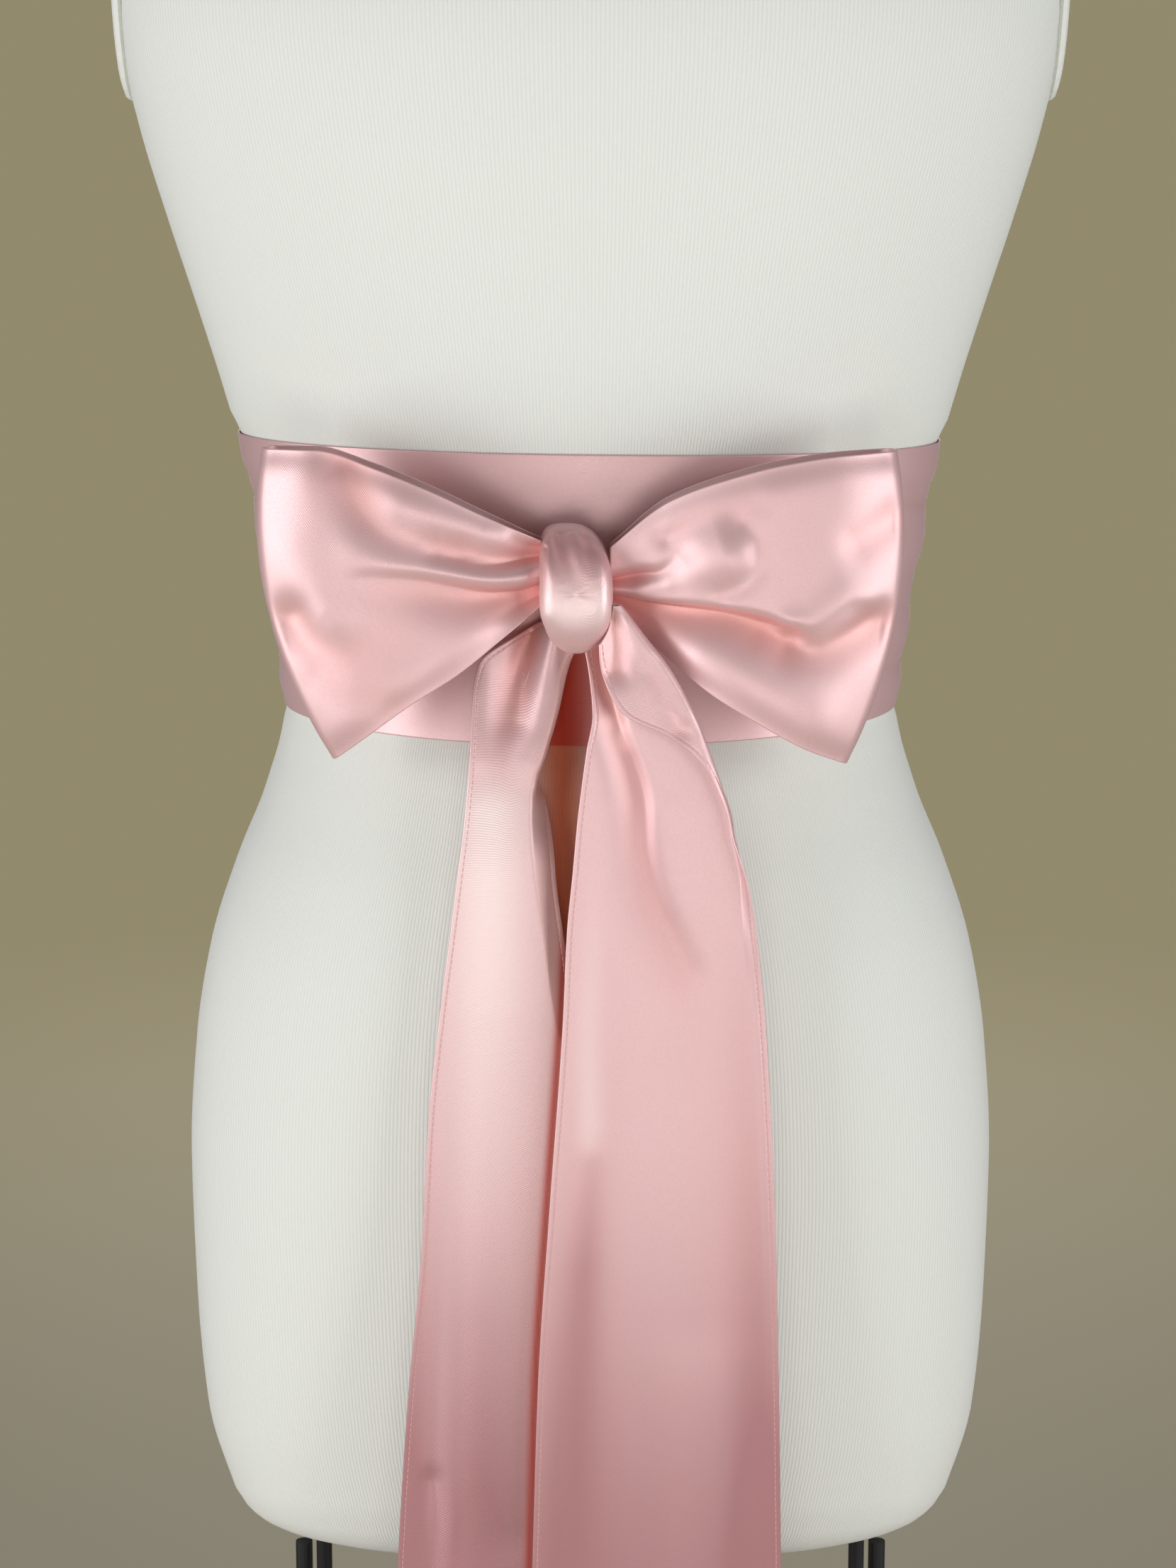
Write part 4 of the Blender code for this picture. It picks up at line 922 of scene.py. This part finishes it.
def tail_grid(tail):
    """The tail's middle surface with no folds, and how far folds reach."""
    down = np.linspace(0.0, 1.0, TAIL_STEPS + 1) ** TAIL_CROWDING
    panel = crowded(TAIL_PANEL_ROWS, end=False)
    places = crowded(TAIL_LEAF_ROWS, start=False)[1:]
    rim = np.radians(tail.rim_start + (tail.rim_end - tail.rim_start) * panel)
    rim_x, rim_z = knot_outline(rim, KNOT_HALF_WIDTH, KNOT_HALF_HEIGHT)
    rim_x = rim_x + KNOT_X
    rim_z = rim_z + KNOT_HEIGHT
    middle = np.zeros((len(down), len(panel) + len(places), 3))
    weight = np.ones(middle.shape[:2])
    turned = np.zeros(middle.shape[:2])
    start_left = read_table(tail.sections, "left", rim_z)
    start_right = read_table(tail.sections, "right", rim_z)
    for i, share in enumerate(down):
        height = rim_z + (TAIL_END - rim_z) * share
        left = read_table(tail.sections, "left", height)
        right = read_table(tail.sections, "right", height)
        fore = read_table(tail.sections, "fore", height)
        leaf = float(read_table(tail.sections, "leaf", height[-1]))
        turn = math.radians(float(read_table(tail.sections, "turn", height[-1])))
        across, forward, reach = leaf_curve(leaf, turn, tail.turn_radius, places)
        x = left + (right - reach - left) * panel
        near = max(0.0, 1.0 - share / TAIL_EASE_SHARE) ** 2
        x = x + (rim_x - (start_left + (start_right - reach - start_left) * panel)) * near
        middle[i, :len(panel)] = np.stack((x, -fore, height), axis=-1)
        middle[i, len(panel):, 0] = x[-1] + across
        middle[i, len(panel):, 1] = -fore[-1] - forward
        middle[i, len(panel):, 2] = np.interp(x[-1] + across, x, height)
        weight[i, len(panel):] = (1.0 - places) ** 2 * max(0.0, math.cos(turn))
        turned[i, len(panel):] = smooth_step((places - 0.15) / 0.25) * max(0.0, -math.cos(turn))
    return middle, weight, turned


def painted_edge_shade(points):
    """Painted shade: how strongly the right tail's edge throws its colour on the left tail just beside it, as
    a coral line where the left tail passes beneath.
    """
    x, z = points[..., 0], points[..., 2]
    edge = read_table(TAIL_RIGHT_SECTIONS, "left", z)
    beside = np.exp(-((x - edge + EDGE_GLOW_HALF / 2.0) / EDGE_GLOW_HALF) ** 2)
    return beside * smooth_step((EDGE_GLOW_TOP - z) / GLOW_FADE)


def build_tail(name, node, tail, material, thread):
    middle, weight, turned = tail_grid(tail)
    depth = sum(fold_depth(fold, middle[..., 0], middle[..., 2]) for fold in tail.folds)
    edge_depth = depth[:, TAIL_PANEL_ROWS]
    leaf = slice(TAIL_PANEL_ROWS + 1, None)
    moved = depth * weight
    moved[:, leaf] += edge_depth[:, None] * (1.0 - weight[:, leaf])
    leaf_depths = (fold_depth(fold, middle[..., 0], middle[..., 2]) for fold in tail.leaf_folds)
    leaf_depth = sum(leaf_depths, 0.0 * depth)
    moved = moved + leaf_depth * turned
    middle = middle + moved[..., None] * np.array((0.0, 1.0, 0.0))
    across = arc_lengths(middle, 1)
    edge = np.minimum(across, across[:, -1:] - across)
    half = edge_half(edge, 1.0)
    # Painted shade: the tail's folds are painted towards coral by their depth
    crease = (depth * weight + leaf_depth * turned) / TAIL_CREASE_FULL
    glow = 0.0 * depth
    if tail is TAIL_LEFT:
        # Painted shade: the left tail's turned edge is painted coral where it lies in the gap
        crease[:, leaf] = np.maximum(crease[:, leaf], painted_gap_shade(middle[:, leaf]))
        # Painted shade: a coral line on the left tail beside the right tail's edge
        glow = EDGE_GLOW_STRENGTH * painted_edge_shade(middle)
    # Painted shade and painted light on the tails, from the shade paths, and painted shade darker towards the
    # bottom
    strengths = np.array([fold_depth(shade, middle[..., 0], middle[..., 2]) for shade in tail.shades])
    painted_tone = strengths.max(axis=0) + np.minimum(strengths, 0.0).min(axis=0)
    painted_tone = painted_tone + LOW_DUSK * smooth_step((DUSK_TOP - middle[..., 2]) / DUSK_FADE)
    # Painted light on the left tail's turned edge, which lies in shade
    if tail is TAIL_LEFT:
        painted_tone[:, leaf] = painted_tone[:, leaf] - LEAF_PALE * painted_gap_shade(middle[:, leaf])
    piece = shell_piece(name, middle, half, False, material, (crease, glow, painted_tone))
    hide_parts(node)
    rows = build_tail_stitches(name, middle, across, thread)
    return piece


def build_tail_stitches(name, middle, across, thread):
    """Stitches on the front of the cloth along both its long edges."""
    normal = grid_normals(middle, False)
    normal = normal * np.where(normal[..., 1:2] > 0.0, -1.0, 1.0)
    total = across[:, -1]
    rows = []
    for label, wanted in (("left_hem", np.full_like(total, SEW_LINE)), ("right_hem", total - SEW_LINE)):
        line = []
        up = []
        for i, place in enumerate(wanted):
            point = [np.interp(place, across[i], middle[i, :, k]) for k in range(3)]
            facing = [np.interp(place, across[i], normal[i, :, k]) for k in range(3)]
            line.append(point)
            up.append(facing)
        line = np.array(line)
        up = np.array(up)
        lifted = line + up * (CLOTH / 2.0 - SEW_GROOVE + STITCH_RADIUS * 1.1)
        piece = stitch_piece(name + "_" + label + "_stitches", lifted, up, thread)
        rows.append(piece)
    return rows


def link(tree, value, socket):
    """Joins an output to a socket, or sets the socket to a plain value."""
    if isinstance(value, bpy.types.NodeSocket):
        tree.links.new(value, socket)
    else:
        socket.default_value = value


def maths(tree, operation, first, second=0.0):
    node = tree.nodes.new("ShaderNodeMath")
    node.operation = operation
    link(tree, first, node.inputs[0])
    link(tree, second, node.inputs[1])
    return node.outputs[0]


def plus(tree, first, second):
    return maths(tree, "ADD", first, second)


def minus(tree, first, second):
    return maths(tree, "SUBTRACT", first, second)


def times(tree, first, second):
    return maths(tree, "MULTIPLY", first, second)


def mix_colors(tree, share, first, second):
    node = tree.nodes.new("ShaderNodeMix")
    node.data_type = "RGBA"
    link(tree, share, node.inputs[0])
    link(tree, first if not isinstance(first, tuple) else (*first, 1.0), node.inputs[6])
    link(tree, second if not isinstance(second, tuple) else (*second, 1.0), node.inputs[7])
    return node.outputs[2]


def read_places(tree, name):
    node = tree.nodes.new("ShaderNodeAttribute")
    node.attribute_name = name
    split = tree.nodes.new("ShaderNodeSeparateXYZ")
    tree.links.new(node.outputs["Vector"], split.inputs[0])
    return node.outputs["Vector"], split.outputs


def noise(tree, vector, scale, detail=2.0):
    node = tree.nodes.new("ShaderNodeTexNoise")
    if vector is not None:
        tree.links.new(vector, node.inputs["Vector"])
    node.inputs["Scale"].default_value = scale
    node.inputs["Detail"].default_value = detail
    return node.outputs[0]


def object_place(tree):
    return tree.nodes.new("ShaderNodeTexCoord").outputs["Object"]


def add_bump(tree, shader, height, strength, distance):
    bump = tree.nodes.new("ShaderNodeBump")
    bump.inputs["Strength"].default_value = strength
    bump.inputs["Distance"].default_value = distance
    tree.links.new(height, bump.inputs["Height"])
    tree.links.new(bump.outputs[0], shader.inputs["Normal"])


def new_material(name):
    material = bpy.data.materials.new(name)
    material.use_nodes = True
    return material, material.node_tree, material.node_tree.nodes["Principled BSDF"]


def make_satin(name, hemmed=False):
    material, tree, shader = new_material(name)
    place, measures = read_places(tree, "cloth_place")
    crease, glow, painted_tone = read_places(tree, "cloth_painted_shade")[1]
    wave = plus(tree, measures[0], measures[1])
    wave = maths(tree, "SINE", times(tree, wave, 2.0 * math.pi / TWILL_PITCH / math.sqrt(2.0)))
    grain = noise(tree, place, 1.0 / GRAIN_SIZE, 3.0)
    cloud = noise(tree, object_place(tree), 9.0, 2.0)
    # Painted shade: creases are mixed towards coral
    color = mix_colors(tree, times(tree, crease, 0.75), BLUSH, CREASE_SHADE_CORAL)
    paler = tuple(min(1.0, channel * 1.06) for channel in BLUSH)
    color = mix_colors(tree, times(tree, cloud, 0.25), color, paler)
    speckle = times(tree, minus(tree, grain, 0.38), 3.0)
    darker = times(tree, plus(tree, times(tree, wave, 0.5), speckle), 0.18)
    color = mix_colors(tree, darker, color, tuple(channel * 0.62 for channel in BLUSH))
    # Painted shade towards the deeper colour, and below zero painted light towards the paler one
    color = mix_colors(tree, maths(tree, "MAXIMUM", painted_tone, 0.0), color, PAINTED_SHADE)
    color = mix_colors(tree, maths(tree, "MAXIMUM", times(tree, painted_tone, -1.0), 0.0), color, PAINTED_LIGHT)
    # Painted shade in the gap between the tails
    color = mix_colors(tree, glow, color, GAP_SHADE_SATIN)
    if hemmed:
        sewn = maths(tree, "ABSOLUTE", minus(tree, measures[2], SEW_LINE))
        sewn = maths(tree, "LESS_THAN", sewn, SEW_GROOVE_HALF)
        color = mix_colors(tree, times(tree, sewn, 0.20), color, THREAD)
    tree.links.new(color, shader.inputs["Base Color"])
    rough = plus(tree, times(tree, grain, 0.10), SATIN_ROUGHNESS)
    # In the painted gap shade the satin is made rougher and fully metallic, so that no pale reflection lifts
    # it
    rough = plus(tree, rough, times(tree, glow, 0.45))
    tree.links.new(rough, shader.inputs["Roughness"])
    metal = plus(tree, times(tree, glow, 1.0 - SATIN_METAL), SATIN_METAL)
    tree.links.new(metal, shader.inputs["Metallic"])
    shader.inputs["IOR"].default_value = 1.75
    shader.inputs["Specular IOR Level"].default_value = 0.80
    shader.inputs["Sheen Weight"].default_value = 0.25
    shader.inputs["Sheen Roughness"].default_value = 0.35
    shader.inputs["Sheen Tint"].default_value = (1.0, 0.93, 0.92, 1.0)
    height = plus(tree, times(tree, wave, 0.4), grain)
    add_bump(tree, shader, height, 0.45, 0.00006)
    return material


def make_thread():
    material, tree, shader = new_material("thread")
    twist = noise(tree, object_place(tree), 2400.0, 1.0)
    color = mix_colors(tree, twist, THREAD, tuple(channel * 1.25 for channel in THREAD))
    tree.links.new(color, shader.inputs["Base Color"])
    shader.inputs["Roughness"].default_value = 0.55
    add_bump(tree, shader, twist, 0.4, 0.0001)
    return material


def make_ribbed_jersey():
    material, tree, shader = new_material("jersey ribbed")
    measures = read_places(tree, "round_place")[1]
    angle = maths(tree, "ARCTAN2", measures[1], measures[0])
    rib = maths(tree, "SINE", times(tree, angle, float(RIB_COUNT)))
    rib = times(tree, plus(tree, rib, 1.0), 0.5)
    knit = noise(tree, object_place(tree), 900.0, 3.0)
    slub = noise(tree, object_place(tree), 40.0, 3.0)
    groove = maths(tree, "POWER", rib, 3.0)
    dark = plus(tree, times(tree, groove, 0.30), times(tree, knit, 0.20))
    color = mix_colors(tree, dark, JERSEY_LIGHT, JERSEY_DARK)
    color = mix_colors(tree, times(tree, slub, 0.16), color, (0.78, 0.77, 0.70))
    # Painted shade and painted coral bounce in the gap between the tails
    color = mix_colors(tree, measures[2], color, GAP_SHADE_JERSEY)
    tree.links.new(color, shader.inputs["Base Color"])
    shader.inputs["Roughness"].default_value = JERSEY_ROUGHNESS
    shader.inputs["Sheen Weight"].default_value = 0.25
    shader.inputs["Sheen Roughness"].default_value = 0.5
    height = minus(tree, times(tree, knit, 0.3), groove)
    add_bump(tree, shader, height, 0.35, 0.0003)
    return material


def make_plain_jersey():
    material, tree, shader = new_material("jersey plain")
    knit = noise(tree, object_place(tree), 900.0, 3.0)
    color = mix_colors(tree, times(tree, knit, 0.5), JERSEY_LIGHT, JERSEY_DARK)
    tree.links.new(color, shader.inputs["Base Color"])
    shader.inputs["Roughness"].default_value = JERSEY_ROUGHNESS
    add_bump(tree, shader, knit, 0.4, 0.0003)
    return material


def make_black_metal():
    material, tree, shader = new_material("black metal")
    speck = noise(tree, object_place(tree), 700.0, 2.0)
    wear = noise(tree, object_place(tree), 30.0, 3.0)
    color = mix_colors(tree, times(tree, wear, 0.5), BLACK, (0.035, 0.035, 0.037))
    tree.links.new(color, shader.inputs["Base Color"])
    rough = plus(tree, times(tree, wear, 0.2), 0.32)
    tree.links.new(rough, shader.inputs["Roughness"])
    shader.inputs["Metallic"].default_value = 0.5
    add_bump(tree, shader, speck, 0.15, 0.0001)
    return material


def make_floor_material():
    material, tree, shader = new_material("floor")
    cloud = noise(tree, object_place(tree), 1.5, 3.0)
    color = mix_colors(tree, cloud, FLOOR, tuple(channel * 0.96 for channel in FLOOR))
    tree.links.new(color, shader.inputs["Base Color"])
    shader.inputs["Roughness"].default_value = 0.8
    away = tree.nodes.new("ShaderNodeVectorMath")
    away.operation = "LENGTH"
    tree.links.new(object_place(tree), away.inputs[0])
    fade = tree.nodes.new("ShaderNodeMapRange")
    fade.interpolation_type = "SMOOTHSTEP"
    tree.links.new(away.outputs["Value"], fade.inputs["Value"])
    limits = {"From Min": FLOOR_FADE_START, "From Max": FLOOR_FADE_END, "To Min": 1.0, "To Max": 0.0}
    for key, value in limits.items():
        fade.inputs[key].default_value = value
    tree.links.new(fade.outputs[0], shader.inputs["Alpha"])
    return material


def finish_node(nodes, name, material):
    """Gives a solid that stays in view its finished material."""
    nodes[name].data.materials.clear()
    nodes[name].data.materials.append(material)


def build_floor():
    points = [(0.0, 0.0, -FLOOR_DROP)]
    for angle in round_angles(FLOOR_STEPS):
        points.append((FLOOR_RADIUS * math.cos(angle), FLOOR_RADIUS * math.sin(angle), -FLOOR_DROP))
    faces = [(0, 1 + i, 1 + (i + 1) % FLOOR_STEPS) for i in range(FLOOR_STEPS)]
    mesh = bpy.data.meshes.new("floor")
    mesh.from_pydata(points, [], faces)
    mesh.materials.append(make_floor_material())
    floor = bpy.data.objects.new("floor", mesh)
    bpy.context.scene.collection.objects.link(floor)


def add_light(light):
    data = bpy.data.lights.new(light.name, "AREA")
    data.shape = "RECTANGLE"
    data.size = light.width
    data.size_y = light.height
    data.energy = light.power
    data.color = light.color
    lamp = bpy.data.objects.new(light.name, data)
    bpy.context.scene.collection.objects.link(lamp)
    lamp.location = light.place
    aim = Vector(light.target) - Vector(light.place)
    lamp.rotation_euler = aim.to_track_quat("-Z", "Y").to_euler()


def build_world():
    """A khaki backdrop for the camera, and a dimmer neutral room for the light on the object."""
    world = bpy.data.worlds.new("studio")
    world.use_nodes = True
    tree = world.node_tree
    room = tree.nodes["Background"]
    room.inputs[0].default_value = (*ROOM, 1.0)
    backdrop = tree.nodes.new("ShaderNodeBackground")
    backdrop.inputs[0].default_value = (*KHAKI, 1.0)
    seen = tree.nodes.new("ShaderNodeLightPath")
    mix = tree.nodes.new("ShaderNodeMixShader")
    tree.links.new(seen.outputs["Is Camera Ray"], mix.inputs[0])
    tree.links.new(room.outputs[0], mix.inputs[1])
    tree.links.new(backdrop.outputs[0], mix.inputs[2])
    tree.links.new(mix.outputs[0], tree.nodes["World Output"].inputs[0])
    bpy.context.scene.world = world


def add_camera():
    data = bpy.data.cameras.new("camera")
    data.sensor_width = SENSOR
    data.lens = FOCAL_PIXELS / PHOTO_HEIGHT * SENSOR
    camera = bpy.data.objects.new("camera", data)
    bpy.context.scene.collection.objects.link(camera)
    camera.location = CAMERA_PLACE
    camera.rotation_euler = (math.radians(90.0 - CAMERA_PITCH), 0.0, 0.0)
    bpy.context.scene.camera = camera


def main():
    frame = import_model()
    nodes = frame["nodes"]
    thread = make_thread()
    build_torso(make_ribbed_jersey())
    build_band(make_satin("satin band"))
    build_knot(make_satin("satin knot"))
    build_loop("loop_left_satin", "loop_left", LOOP_LEFT, make_satin("satin loop left"))
    build_loop("loop_right_satin", "loop_right", LOOP_RIGHT, make_satin("satin loop right"))
    build_tail("tail_left_satin", "tail_left", TAIL_LEFT, make_satin("satin tail left", True), thread)
    build_tail("tail_right_satin", "tail_right", TAIL_RIGHT, make_satin("satin tail right", True), thread)
    plain = make_plain_jersey()
    for name in ("arm_plate_left", "arm_plate_right", "neck_cap"):
        finish_node(nodes, name, plain)
    metal = make_black_metal()
    for name in ("base_plate", "post_front_left", "post_front_right", "post_back_left", "post_back_right"):
        finish_node(nodes, name, metal)
    build_floor()
    build_world()
    for light in LIGHTS:
        add_light(light)
    add_camera()
    bpy.context.scene.view_settings.view_transform = "Standard"


main()
